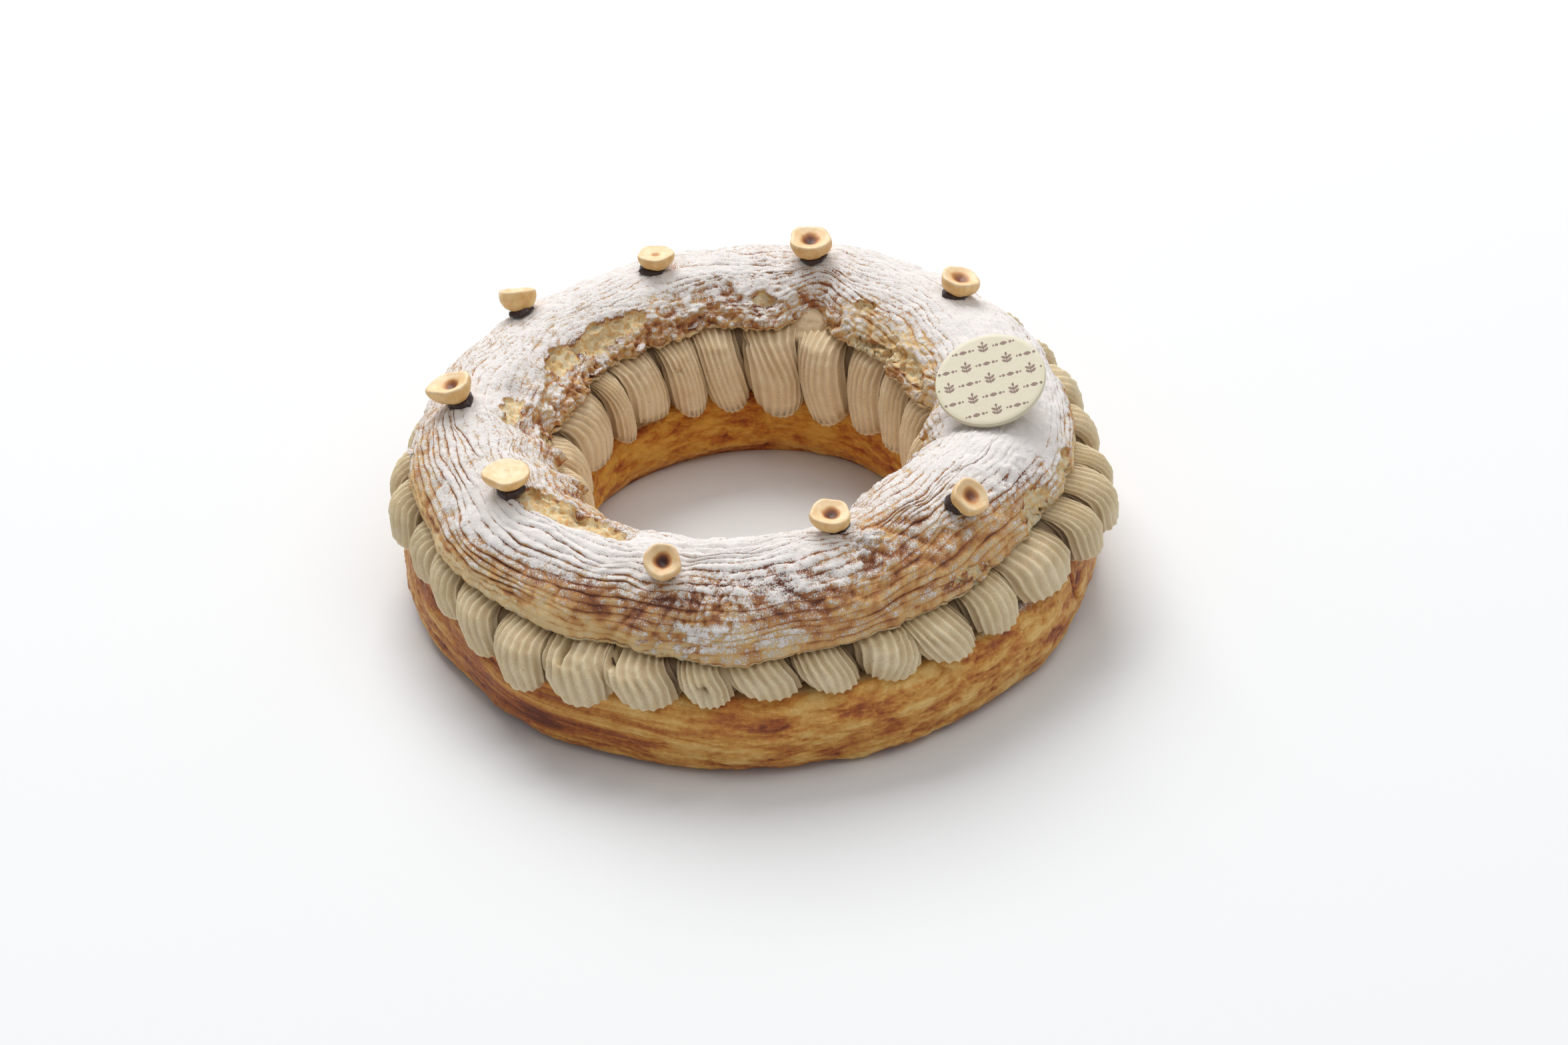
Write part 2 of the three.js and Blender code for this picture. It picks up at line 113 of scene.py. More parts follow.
INNER_SHELLS = Values(
    count=22,
    first_crease=33.5,
    shifts={2: 1.1, 3: 4.1, 4: 2.9, 7: -6.6},
    radius=50.8,
    foot_radius=60,
    top_radius=65,
    core_radius=85,
    crease=6.8,
    flute=1.1,
    flutes=10,
    levels=62,
    profile=[(6, 0.09), (3, 0.01), (0.9, 0.06), (0, 0.2), (0.1, 0.38), (1, 0.62), (3.4, 0.84),
             (7.5, 0.96), (14.2, 1)],
    widths=[(0, 0.9), (0.1, 1), (0.3, 1.12), (0.55, 1.06), (0.8, 1), (1, 0.95)],
    droop=4.4,
    lean=3.2,
    uneven=0.8,
    swells=[(70, 40, 1.4)],
    droops=[(65, 33, 4), (124, 8, -3)],
    twists={2: 0.45, 3: 0.35, 4: 0.1, 5: -0.35},
    bends={1: 0.4, 2: -0.5, 3: 0.15, 4: -0.15},
    slumps={5: 0.25},
    air_holes=[(113, 41, 0.9, 1.2), (88, 45, 1.1, 1.2)],
    seed=32,
    side=-1,
)
FLUTE_COLUMNS = (0, 0.2, 0.37, 0.5, 0.63, 0.8)  # places of the mesh's columns across one flute
# How deep the flutes are from under the tip to the top.
FLUTE_DEPTHS = [(0, 0), (0.08, 0.1), (0.2, 0.35), (0.42, 1), (0.9, 1), (1, 0.4)]
SWIRL = Values(angle=69.5, radius=65.5, level=45.4, width=24, height=4.8, lean=36)
# Both are the same cream. The inner one's lighter, warmer colours are painted light: the warm light that
# the golden crust bounces into the hole.
OUTER_CREAM = (246, 230, 195), (234, 215, 173)
INNER_CREAM = (254, 234, 198), (245, 220, 180)

# ---- The lid ----

LID = Values(
    centre_x=-1.2,
    rim_height=47.8,
    slope_x=0.0263,
    slope_y=0.0492,
    bend_y=-0.00023,
    radius=105.6,
    hole_radius=58,
    rise=15,
    front_rise=3,
    outer_flank=1.25,
    inner_flank=1.5,
    skirt=1.8,
    undercut=1.4,
    uneven=0.7,
)
LID_COLUMNS = 710
LID_MIDDLE = 85  # a radius about halfway across the crust
LID_ACROSS = 60  # about how far it is over the crust, from the rim to the hole
TERRACES = 26  # ridges across the crust
TERRACE_ROWS = (0, 0.13, 0.37, 0.63, 0.87)  # places of the mesh's rows across one ridge
LID_CUT_ROWS = np.array([0, 0.05, 0.3, 0.7, 0.95, 1])  # across the cut face, from the hole's edge

# Changes of the lid's rim and of the edge of its hole: angle, width, by.
LID_RIM_CHANGES = [(-94, 7, 2.7), (-114.5, 5, -3.6), (174, 6, 1.2), (30, 25, -2.5), (90, 50, -2),
                   (120, 16, -1.5)]
LID_HOLE_CHANGES = [(67, 7, 10), (97, 14, 2.5), (130, 12, 2.5), (27, 12, -3.5), (-44, 13, -4),
                    (172, 7, 3)]
RAGGED_RIM = [(-100, 16, 0.6), (-60, 16, 0.4), (-28, 14, 0.7), (0, 12, 0.4)]
RAGGED_HOLE = [(128, 30, 1.2), (60, 20, 0.6)]
BARE_RIM = [(-146, 24, 1.3), (-106, 7, 0.7), (-62, 14, 0.25), (-15, 16, 0.9)]

# Torn hollows and folds of the crust: angle, radius, length along the ring, width across, height.
LID_RELIEF = [
    (-146, 79, 7, 4.5, -3.6), (-134, 74.5, 8, 4.5, -5), (-122, 73, 6, 4, -3.4), (178, 67, 9, 5, -3.4),
    (167, 73, 6, 4, -3.2), (150, 64, 7, 4.5, -3.8), (132, 64, 9, 4, -3.6), (114, 66, 8, 3.5, 1.6),
    (92, 72, 9, 3.5, 1.5), (78, 64, 6, 4, -2.2), (2, 82, 10, 9, 3), (-14, 84, 8, 9, -1.4),
    (-32, 103, 7, 4, -2.6), (-56, 84, 6, 7, 1.4), (-67, 90, 3.5, 11, -2), (-88, 69, 7, 4, 1.2),
]
# Where the crust differs from its usual look, in the same form, but for the last number, which is
# the change in the strength of the ridges, the sugar, the browning, the crumb and so on.
RIDGE_ZONES = [
    (135, 78, 75, 26, -0.35), (175, 70, 30, 16, -0.35), (-2, 85, 40, 26, -0.45), (-132, 92, 60, 14, 0.45),
    (-95, 82, 40, 14, 0.5), (-50, 84, 30, 12, 0.35), (178, 95, 30, 9, 0.3), (45, 88, 35, 14, 0.2),
    (85, 74, 30, 8, 0.3), (120, 64, 50, 8, -0.35), (-100, 102, 45, 5, -0.5),
]
SUGAR_ZONES = [
    (-5, 86, 45, 18, 0.7), (-25, 89, 20, 8, 0.25), (125, 88, 50, 12, 0.12), (-150, 92, 26, 10, 0.3),
    (-130, 84, 26, 7, 0.35), (-108, 76, 30, 9, 0.4), (-80, 74, 28, 9, 0.15), (-84, 93, 20, 8, 0.2),
    (85, 75, 40, 10, 0.3), (40, 92, 40, 14, 0.35), (110, 92, 50, 12, 0.1), (172, 84, 20, 10, 0.25),
    (-122, 101, 50, 6, -0.5), (-70, 101, 22, 5, -0.4), (-62, 84, 8, 10, -0.35), (-45, 101, 26, 4.5, -0.5),
    (-165, 105, 20, 4, -0.5), (125, 59, 40, 4, -0.3), (-135, 64, 22, 5, -0.25), (25, 63, 30, 6, -0.3),
    (-104, 104.5, 12, 2.6, 0.85), (-142, 94, 24, 6, 0.3), (-95, 84, 30, 8, 0.2), (-8, 66, 24, 6, 0.2),
]
BROWN_ZONES = [
    (-28, 95, 14, 6, 0.3), (-62, 85, 9, 10, 0.12), (-84, 96, 22, 6, 0.1), (-104, 96, 16, 5, 0.12),
    (-126, 98, 26, 5, 0.25), (128, 58, 34, 5, 0.05), (-133, 63, 16, 4, 0.15), (172, 94, 10, 5, 0.1),
    (-20, 104, 20, 3, -0.4), (-125, 105, 60, 3, -0.35), (0, 62, 40, 6, -0.25), (42, 59, 26, 5, -0.3),
]
CRUMB_ZONES = [
    (-147, 79, 8, 4.5, 0.9), (-137, 75, 9, 4.5, 1.1), (-126, 73.5, 8, 4.2, 1.1), (178, 60, 4, 3.5, 1),
    (174, 72.5, 9, 3.6, 0.9), (133, 67.5, 10, 3.6, 1.1), (122, 66, 7, 2.6, 0.9), (148, 68, 7, 3.4, 1),
    (50, 67, 4, 2, 0.9), (81, 65, 5, 2.2, 0.8), (-31.5, 103.5, 8, 2.6, 1.1), (-18, 105, 8, 1.6, 0.9),
    (-52, 105, 14, 1.4, 0.6), (20, 59, 14, 2, 0.8), (38, 57.5, 16, 1.8, 0.95),
]
HATCHED_ZONES = [
    (-97, 95, 22, 8, 1), (-80, 92, 14, 9, 0.6), (-58, 92, 14, 8, 0.8), (-114, 99, 12, 5, 0.5),
    (70, 78, 30, 12, 0.4),
]
KNOBBLY_ZONES = [
    (-66, 87, 5, 8, 2.6), (-74, 99, 14, 5, 0.8), (-50, 96, 22, 6, 0.8), (-84, 90, 16, 7, 0.6),
    (-30, 97, 16, 5, 0.6), (88, 70, 26, 8, 0.7), (82.3, 83.5, 4, 3, 1.2), (103.7, 84.8, 4, 3, 1.2),
    (-105, 103, 14, 3, 0.6), (132, 58.5, 34, 4, 1), (100, 62, 14, 4, 0.8), (60, 62, 14, 4, 0.7),
]
RAGGED_ZONES = [
    (130, 60, 38, 5, 1), (95, 64, 22, 5, 0.7), (60, 63, 16, 5, 0.8), (25, 62, 24, 5, 0.7),
    (-136, 72, 24, 7, 0.9), (172, 66, 20, 8, 0.7), (-33, 103, 12, 3, 0.8), (-104, 104, 14, 3, 0.5),
]

# ---- Toppings and loose bits ----

# Hazelnut halves, clockwise from the back left: as in the CAD source, and then how dark and how
# wide the brown middle of the cut face is, and how deep its hollow.
NUTS = table(
    "width depth lean facing tip dark middle hollow",
    [
        (12.1, 7.2, 26, 92, 0, 0.9, 0.42, 0.3),
        (12, 5.4, 5, 90, 0, 0.45, 0.3, 0.12),
        (14, 7, 4, -90, 0, 1, 0.42, 0.3),
        (12.6, 6.4, 12, 0, 0, 0.75, 0.5, 0.26),
        (11.6, 6.2, 36, -45, 0, 0.8, 0.46, 0.24),
        (12.4, 6, 5, -80, 0, 0.95, 0.42, 0.28),
        (11.3, 6, 32, -90, 0, 1.1, 0.44, 0.36),
        (14.5, 4.8, 2, 90, 0, 0.05, 0.4, 0.02),
        (13, 7, 14, 170, 0.25, 0.85, 0.4, 0.3),
    ],
)
NUT_SIDES = 11
NUT_OUTLINE = [(0.2, -0.2), (0.55, -0.07), (0.92, 0), (1, -0.1), (0.97, -0.38), (0.78, -0.76), (0.38, -1)]
# The finer outline's rim and underside.
NUT_RIM = [(0.7, -0.05), (0.9, 0), (0.97, -0.03), (1, -0.12), (0.99, -0.36)]
NUT_UNDER = [(0.9, -0.6), (0.74, -0.8), (0.5, -0.95), (0.2, -1.02)]
FINE_NUT = Values(sides=72, rows=44)
DAB = Values(voxel=0.4, softened=4, grow=0.05)
DISC = Values(width=35, thickness=1.7, lean=22, facing=-121, round=0.35, sides=120)
# The disc's pattern. turn is the angle between its rows and the left to right direction.
PRINT = Values(rows=5, row_pitch=6.2, pitch=13, scale=1.4, lift=0.05, turn=5)
CRUMBS = Values(count=160, flatness=0.55)
# Shreds of crust: the angle and the way across the crust, from the rim to the hole, where each
# sticks, its size, its tilt from level and its heading from straight out.
FLAKES = table(
    "angle way length width thickness lean heading",
    [
        (-87.8, 0.965, 5, 3, 0.9, -20, 100),
        (-103.2, 0.9, 4, 2.6, 0.9, 15, 70),
        (160.8, 0.12, 4, 2.4, 0.8, 10, 80),
        (179.3, 0.05, 4.6, 2.4, 0.8, -10, 95),
        (-101, 0.03, 5, 2.6, 0.8, -15, 85),
        (-109, 0.04, 4, 2.2, 0.8, -10, 100),
        (140, 0.97, 5, 2.4, 0.8, 15, 60),
        (122, 0.975, 4.4, 2.4, 0.8, 25, 110),
        (103, 0.97, 5, 2.6, 0.8, 20, 80),
    ],
)
FLAKE_GRID = Values(sides=24, rows=13)


# ---- Numbers ----


def turn(start, end):
    """Degrees from one angle round to another, between -180 and 180."""
    return (end - start + 180) % 360 - 180


def hump(away):
    """1 at 0, falling smoothly to nearly nothing at 2."""
    return np.exp(-(away**2))


def seeded(seed):
    """The CAD source's random number source."""
    state = seed
    while True:
        state = (state * 1664525 + 1013904223) % 4294967296
        yield state / 4294967296


def ring_angles(count):
    """Even angles all round, as a column."""
    return np.linspace(0, 360, count, endpoint=False)[:, None]


def ring_wave(seed, slowest, fastest, angle):
    """A smooth closed wave round the ring, between about -1 and 1, as in the CAD source."""
    random = seeded(seed)
    cycles = range(slowest, fastest + 1)
    waves = [np.cos(np.radians(n * angle + 360 * next(random))) for n in cycles]
    return sum(waves) / math.sqrt(len(waves))


def change_at(changes, angle):
    """The sum of the local changes at each angle."""
    return sum(by * hump(turn(at, angle) / width) for at, width, by in changes)


def zone_at(zones, across, angle, radius=None):
    """The sum of the local changes at each place: across is the radius, or a height on a wall that
    has the radius given."""
    total = np.zeros(np.broadcast(across, angle).shape)
    for at, middle, along, width, by in zones:
        length = np.radians(turn(at, angle)) * (across if radius is None else radius) / along
        total += by * hump(length) * hump((across - middle) / width)
    return total


def smooth_step(low, high, value):
    share = np.clip((value - low) / (high - low), 0, 1)
    return share * share * (3 - 2 * share)


def spline(knots, values, at):
    """A smooth curve through values at knots."""
    knots, values = np.asarray(knots, float), np.asarray(values, float)
    slopes = np.gradient(values, knots)
    i = np.clip(np.searchsorted(knots, at, side="right") - 1, 0, len(knots) - 2)
    width = knots[i + 1] - knots[i]
    t = (at - knots[i]) / width
    start = (1 + 2 * t) * (1 - t) ** 2 * values[i] + t * (1 - t) ** 2 * width * slopes[i]
    end = t * t * (3 - 2 * t) * values[i + 1] + t * t * (t - 1) * width * slopes[i + 1]
    return start + end


def outline_points(outline, count):
    """count points along a smooth curve through an outline's corners."""
    corners = np.array(outline, float)
    steps = np.hypot(*np.diff(corners, axis=0).T)
    along = np.concatenate([[0], np.cumsum(steps)])
    at = np.linspace(0, along[-1], count)
    return spline(along, corners[:, 0], at), spline(along, corners[:, 1], at)


def unit(vectors):
    """Vectors in the same directions, 1 long."""
    return vectors / np.maximum(np.linalg.norm(vectors, axis=-1), 1e-9)[..., None]


SLOPES = unit(np.random.default_rng(5).normal(size=(256, 3)))


def hashed(cell, seed):
    """A whole number from 0 to 255 for each cell of a grid."""
    key = cell[..., 0] * 73856093 ^ cell[..., 1] * 19349663 ^ cell[..., 2] * 83492791
    key = (key ^ seed * 265443576) * 1274126177 & 0x7FFFFFFF
    return (key >> 11 ^ key >> 19) & 255


def noise(points, size, seed):
    """A smooth random field between about -1 and 1, with lumps about size wide."""
    places = points / size
    cell = np.floor(places).astype(np.int64)
    inside = places - cell
    fade = inside**3 * (inside * (inside * 6 - 15) + 10)
    total = np.zeros(points.shape[:-1])
    for corner in product((0, 1), repeat=3):
        slope = SLOPES[hashed(cell + corner, seed)]
        weight = np.prod(np.where(corner, fade, 1 - fade), axis=-1)
        total += weight * np.sum(slope * (inside - corner), axis=-1)
    return 1.7 * total


def rough(points, size, seed, octaves=2, fall=0.5):
    """Noise with finer and finer noise added to it."""
    return sum(fall**k * noise(points, size / 2**k, seed + k) for k in range(octaves))


def holes(points, size, seed, share):
    """1 in the middle of scattered round holes, falling to 0 at their edge. share of the cells of
    a grid of this size have one."""
    places = points / size
    cell = np.floor(places).astype(np.int64)
    nearest = np.full(points.shape[:-1], 9.0)
    for step in product((-1, 0, 1), repeat=3):
        at = cell + step
        offsets = np.stack([hashed(at, seed + k) / 255 for k in range(3)], axis=-1)
        distance = np.linalg.norm(places - at - offsets, axis=-1)
        there = hashed(at, seed + 9) < 255 * share
        nearest = np.minimum(nearest, np.where(there, distance, 9))
    return np.clip(1 - nearest / 0.45, 0, 1)


def ring_points(radius, angle, height):
    radius, angle, height = np.broadcast_arrays(radius, angle, height)
    turned = np.radians(angle)
    return np.stack([radius * np.cos(turned), radius * np.sin(turned), height], axis=-1)


def flow_places(angle, across, radius, stretch, slant=0):
    """Places for noise that is drawn out along the ring stretch times, and turned by slant."""
    return ring_points(radius / stretch, angle + slant * across, across)


# ---- Meshes ----


def grid_faces(columns, rows, closed_rows=True):
    """Four-cornered faces of a grid of columns that goes all the way round."""
    i = np.arange(columns)[:, None]
    j = np.arange(rows if closed_rows else rows - 1)[None, :]
    here, there = i * rows, (i + 1) % columns * rows
    up = (j + 1) % rows
    return np.stack([here + j, there + j, there + up, here + up], axis=-1).reshape(-1, 4)


def fan_faces(loop, middle):
    """Triangles from a closed loop of indices to a point in its middle."""
    return np.stack([loop, np.roll(loop, -1), np.full(len(loop), middle)], axis=-1)


def normals_of(grid):
    """The outward direction at each point of a ring grid with closed rows."""
    along = np.roll(grid, -1, axis=0) - np.roll(grid, 1, axis=0)
    across = np.roll(grid, -1, axis=1) - np.roll(grid, 1, axis=1)
    return unit(np.cross(along, across))


def add_object(name, data):
    item = bpy.data.objects.new(name, data)
    bpy.context.scene.collection.objects.link(item)
    return item


def add_piece(name, points, faces, material, slot, nodes=(), **attributes):
    """Makes a piece from points in millimetres and hides the CAD parts in nodes; slot is not used."""
    mesh = bpy.data.meshes.new(name)
    corners = np.asarray(points, float).reshape(-1, 3) * MM
    mesh.from_pydata(corners.tolist(), [], [face for part in faces for face in part.tolist()])
    for label, values in attributes.items():
        values = np.asarray(values, np.float32)
        vector = values.size == 3 * len(corners)
        kind, field = ("FLOAT_VECTOR", "vector") if vector else ("FLOAT", "value")
        data = mesh.attributes.new(label, kind, "POINT").data
        data.foreach_set(field, values.ravel())
    mesh.shade_smooth()
    mesh.materials.append(material)
    piece = add_object(name, mesh)
    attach(piece, "root")
    if nodes:
        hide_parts(*nodes)
    return piece


# ---- Materials ----


def colour(red, green, blue):
    """A shader colour from the 0 to 255 values that a screen shows."""
    shares = np.array([red, green, blue]) / 255
    linear = np.where(shares <= 0.04045, shares / 12.92, ((shares + 0.055) / 1.055) ** 2.4)
    return (*linear, 1)


class Shader:
    """A material whose nodes are put together step by step."""

    def __init__(self, name, **settings):
        self.material = bpy.data.materials.new(name)
        self.material.use_nodes = True
        self.nodes = self.material.node_tree.nodes
        self.links = self.material.node_tree.links
        self.surface = self.nodes["Principled BSDF"]
        for label, value in settings.items():
            self.finish(label.replace("_", " "), value)

    def feed(self, node, inputs):
        """Links each input of a node to its source, or sets it where the source is a constant."""
        for label, source in inputs.items():
            if isinstance(source, bpy.types.NodeSocket):
                self.links.new(source, node.inputs[label])
            else:
                node.inputs[label].default_value = source

    def finish(self, label, source):
        self.feed(self.surface, {label: source})

    def place(self):
        return self.nodes.new("ShaderNodeTexCoord").outputs["Object"]

    def attribute(self, name, output="Fac"):
        node = self.nodes.new("ShaderNodeAttribute")
        node.attribute_name = name
        return node.outputs[output]

    def noise(self, size, where, detail=3, roughness=0.6, distortion=0.0):
        """Noise from 0 to 1 with lumps about size millimetres wide."""
        node = self.nodes.new("ShaderNodeTexNoise")
        self.feed(node, {"Vector": where, "Scale": 1 / (size * MM), "Detail": detail})
        self.feed(node, {"Roughness": roughness, "Distortion": distortion})
        return node.outputs["Fac"]

    def grain(self, size, where, detail=3, roughness=0.6, distortion=0.0):
        """Noise spread out to fill 0 to 1."""
        return self.range(self.noise(size, where, detail, roughness, distortion), 0.33, 0.67)

    def cells(self, size, where):
        """The distance from scattered points, 0 at each, with cells about size millimetres wide."""
        node = self.nodes.new("ShaderNodeTexVoronoi")
        self.feed(node, {"Vector": where, "Scale": 1 / (size * MM)})
        return node.outputs["Distance"]

    def math(self, operation, first, second):
        node = self.nodes.new("ShaderNodeMath")
        node.operation = operation
        self.feed(node, {0: first, 1: second})
        return node.outputs[0]

    def range(self, value, low, high, to_low=0.0, to_high=1.0):
        """value from low to high becomes to_low to to_high, smoothly."""
        node = self.nodes.new("ShaderNodeMapRange")
        node.interpolation_type = "SMOOTHSTEP"
        self.feed(node, {"Value": value, "From Min": low, "From Max": high})
        self.feed(node, {"To Min": to_low, "To Max": to_high})
        return node.outputs["Result"]

    def total(self, *parts):
        """The sum of (factor, value) pairs."""
        whole = None
        for factor, value in parts:
            part = self.math("MULTIPLY", value, factor)
            whole = self.math("ADD", whole, part) if whole else part
        return whole

    def ramp(self, value, *stops):
        """A colour that changes with value through stops of (value, red, green, blue)."""
        node = self.nodes.new("ShaderNodeValToRGB")
        elements = node.color_ramp.elements
        while len(elements) < len(stops):
            elements.new(0.5)
        for element, (position, *tint) in zip(elements, stops):
            element.position = position
            element.color = colour(*tint)
        self.feed(node, {"Fac": value})
        return node.outputs["Color"]

    def blend(self, share, first, second, mode="MIX"):
        """From the first colour where share is 0 to the second where it is 1."""
        node = self.nodes.new("ShaderNodeMix")
        node.data_type = "RGBA"
        node.blend_type = mode
        self.feed(node, {"Factor": share, 6: first, 7: second})
        return node.outputs[2]

    def bump(self, height, depth):
        """Fine relief, depth millimetres from the lowest to the highest value."""
        node = self.nodes.new("ShaderNodeBump")
        self.feed(node, {"Distance": depth * MM, "Height": height})
        self.finish("Normal", node.outputs["Normal"])


def base_material():
    """Baked crust: golden, with red-brown streaks that run with the flow of the dough."""
    shader = Shader("choux_base_crust", Roughness=0.42, Subsurface_Weight=0.1)
    shader.finish("Subsurface Radius", (0.0025, 0.0012, 0.0006))
    where, flow = shader.place(), shader.attribute("flow", "Vector")
    streaks = shader.grain(3.6, flow, detail=7, roughness=0.62, distortion=1.2)
    lines = shader.grain(1.1, flow, detail=5, roughness=0.7, distortion=0.5)
    blotches = shader.grain(12, where, detail=4)
    specks = shader.grain(1.4, where, detail=5, roughness=0.75)
    baked = shader.total(
        (1, shader.attribute("bake")), (0.34, streaks), (0.2, lines), (0.18, blotches), (0.16, specks)
    )
    crust = shader.ramp(
        baked,
        (0.12, 246, 202, 122),
        (0.36, 230, 170, 82),
        (0.56, 210, 136, 56),
        (0.76, 178, 94, 38),
        (1.0, 118, 56, 28),
    )
    crumb = shader.ramp(specks, (0.2, 222, 174, 110), (0.6, 246, 218, 166))
    body = shader.blend(shader.attribute("golden"), crust, colour(255, 234, 164), "MULTIPLY")
    body = shader.blend(shader.attribute("crumb"), body, crumb)
    grains = shader.grain(0.6, where, roughness=0.8)
    dusted = shader.total((1, shader.attribute("sugar")), (0.5, grains))
    share = shader.range(dusted, 0.62, 0.8)
    shader.finish("Base Color", shader.blend(share, body, colour(250, 247, 248)))
    shader.bump(shader.total((1, lines), (0.7, streaks), (0.6, specks), (0.5, share)), 0.22)
    return shader.material


def cream_material(name, light, dark, sugared):
    """Praline cream: smooth, with a fine grain, specks of nut skin, a little fallen sugar, and painted
    shade in its grooves and between its shells.
    """
    shader = Shader(name, Roughness=0.5, Subsurface_Weight=0.25)
    shader.finish("Subsurface Radius", (0.004, 0.0028, 0.0016))
    where = shader.place()
    cloud = shader.range(shader.noise(6, where, detail=4), 0.3, 0.7)
    body = shader.blend(cloud, colour(*light), colour(*dark))
    # Painted shade: the flutes' grooves are darkened towards a deeper tan, as if in shadow.
    deep = shader.range(shader.attribute("groove"), 0.1, 1.2, 0, 0.62)
    body = shader.blend(deep, body, colour(178, 146, 102))
    # Painted shade: the creases between shells are darkened towards dark brown, as if in shadow.
    painted_gap_shade = shader.range(shader.attribute("groove"), 1.1, 2.2, 0, 0.8)
    body = shader.blend(painted_gap_shade, body, colour(96, 70, 44))
    grain = shader.grain(0.45, where, roughness=0.75)
    body = shader.blend(shader.range(grain, 0.6, 1, 0, 0.3), body, colour(170, 134, 90))
    specks = shader.range(shader.cells(4.2, where), 0.055, 0.03, 0, 0.8)
    body = shader.blend(specks, body, colour(96, 70, 58))
    sugar = shader.range(shader.cells(0.9, where), 0.2, 0.1, 0, 0.5)
    patches = shader.range(shader.noise(9, where), 0.46, 0.62, 0, sugared)
    body = shader.blend(shader.math("MULTIPLY", sugar, patches), body, colour(250, 246, 240))
    shader.finish("Base Color", body)
    shader.bump(grain, 0.07)
    return shader.material


def lid_material():
    """Craggy crust under icing sugar, with pale crumb where it is torn."""
    shader = Shader("choux_lid_crust", Roughness=0.78, Subsurface_Weight=0.1)
    shader.finish("Subsurface Radius", (0.0025, 0.0014, 0.0008))
    where, flow = shader.place(), shader.attribute("flow", "Vector")
    streaks = shader.grain(3, flow, detail=6, roughness=0.65, distortion=0.8)
    blotches = shader.grain(7, where, detail=5, roughness=0.65)
    specks = shader.grain(1.2, where, detail=5, roughness=0.75)
    baked = shader.total(
        (1, shader.attribute("bake")), (0.2, streaks), (0.14, blotches), (0.14, specks)
    )
    crust = shader.ramp(
        baked,
        (0.1, 250, 216, 158),
        (0.3, 238, 194, 128),
        (0.5, 220, 160, 96),
        (0.72, 180, 114, 70),
        (1.0, 118, 68, 50),
    )
    fibres = shader.grain(2.6, where, detail=5, roughness=0.55, distortion=1.5)
    crumb = shader.ramp(fibres, (0, 252, 196, 126), (0.3, 255, 219, 156), (0.75, 255, 238, 200))
    torn = shader.total((1, shader.attribute("crumb")), (0.3, specks))
    body = shader.blend(shader.range(torn, 0.5, 0.8), crust, crumb)
    grains = shader.grain(0.5, where, roughness=0.8)
    clumps = shader.grain(2.2, where, detail=4, roughness=0.65)
    sugar = shader.attribute("sugar")
    dusted = shader.total((1, sugar), (0.6, grains), (0.3, clumps), (0.2, blotches), (0.25, specks))
    loose = shader.range(shader.cells(0.9, where), 0.28, 0.12, 0, 0.8)
    scattered = shader.math("MULTIPLY", loose, shader.range(dusted, 0.3, 0.85))
    share = shader.math("MAXIMUM", shader.range(dusted, 0.86, 1.14), scattered)
    shader.finish("Base Color", shader.blend(share, body, colour(255, 248, 244)))
    shader.bump(shader.total((0.7, grains), (0.8, specks), (0.5, streaks), (0.6, share)), 0.2)
    return shader.material


def nut_material():
    """Roasted hazelnut: golden skin side, paler cut face with a brown middle."""
    shader = Shader("hazelnut_flesh", Roughness=0.42, Subsurface_Weight=0.15)
    shader.finish("Subsurface Radius", (0.002, 0.0012, 0.0006))
    where = shader.place()
    cloud = shader.grain(3.5, where, detail=4)
    outside = shader.blend(cloud, colour(244, 208, 146), colour(228, 180, 112))
    inside = shader.blend(cloud, colour(240, 214, 174), colour(232, 194, 142))
    body = shader.blend(shader.attribute("cut"), outside, inside)
    middle = shader.attribute("middle")
    brown = shader.ramp(
        middle, (0, 240, 204, 140), (0.35, 206, 146, 86), (0.7, 136, 80, 52), (1, 70, 38, 30)
    )
    shader.finish("Base Color", shader.blend(shader.range(middle, 0.03, 0.4), body, brown))
    shader.bump(shader.noise(0.6, where, detail=4, roughness=0.7), 0.12)
    return shader.material


def chocolate_material():
    """Set dark chocolate with a soft shine, faintly dusted."""
    shader = Shader("dark_chocolate_set", Roughness=0.32)
    where = shader.place()
    tint = shader.blend(shader.noise(2, where), colour(44, 26, 22), colour(64, 42, 36))
    dust = shader.range(shader.noise(0.5, where, detail=2), 0.62, 0.75, 0, 0.35)
    shader.finish("Base Color", shader.blend(dust, tint, colour(220, 214, 214)))
    shader.bump(shader.noise(1.2, where), 0.15)
    return shader.material


def disc_material():
    """Moulded white chocolate, satin, faintly uneven in tone."""
    shader = Shader("white_chocolate_moulded", Roughness=0.33, Subsurface_Weight=0.3)
    shader.finish("Subsurface Radius", (0.003, 0.0024, 0.0014))
    where = shader.place()
    body = shader.blend(shader.noise(9, where), colour(219, 211, 187), colour(210, 202, 175))
    shader.finish("Base Color", body)
    shader.bump(shader.noise(1.5, where, detail=2), 0.03)
    return shader.material


def plain_material(name, tint, roughness):
    """One colour, faintly cloudy."""
    shader = Shader(name, Roughness=roughness)
    light = colour(*tint)
    deep = tuple(0.72 * part for part in light[:3]) + (1,)
    shader.finish("Base Color", shader.blend(shader.noise(1.5, shader.place()), deep, light))
    return shader.material


# ---- Base ----


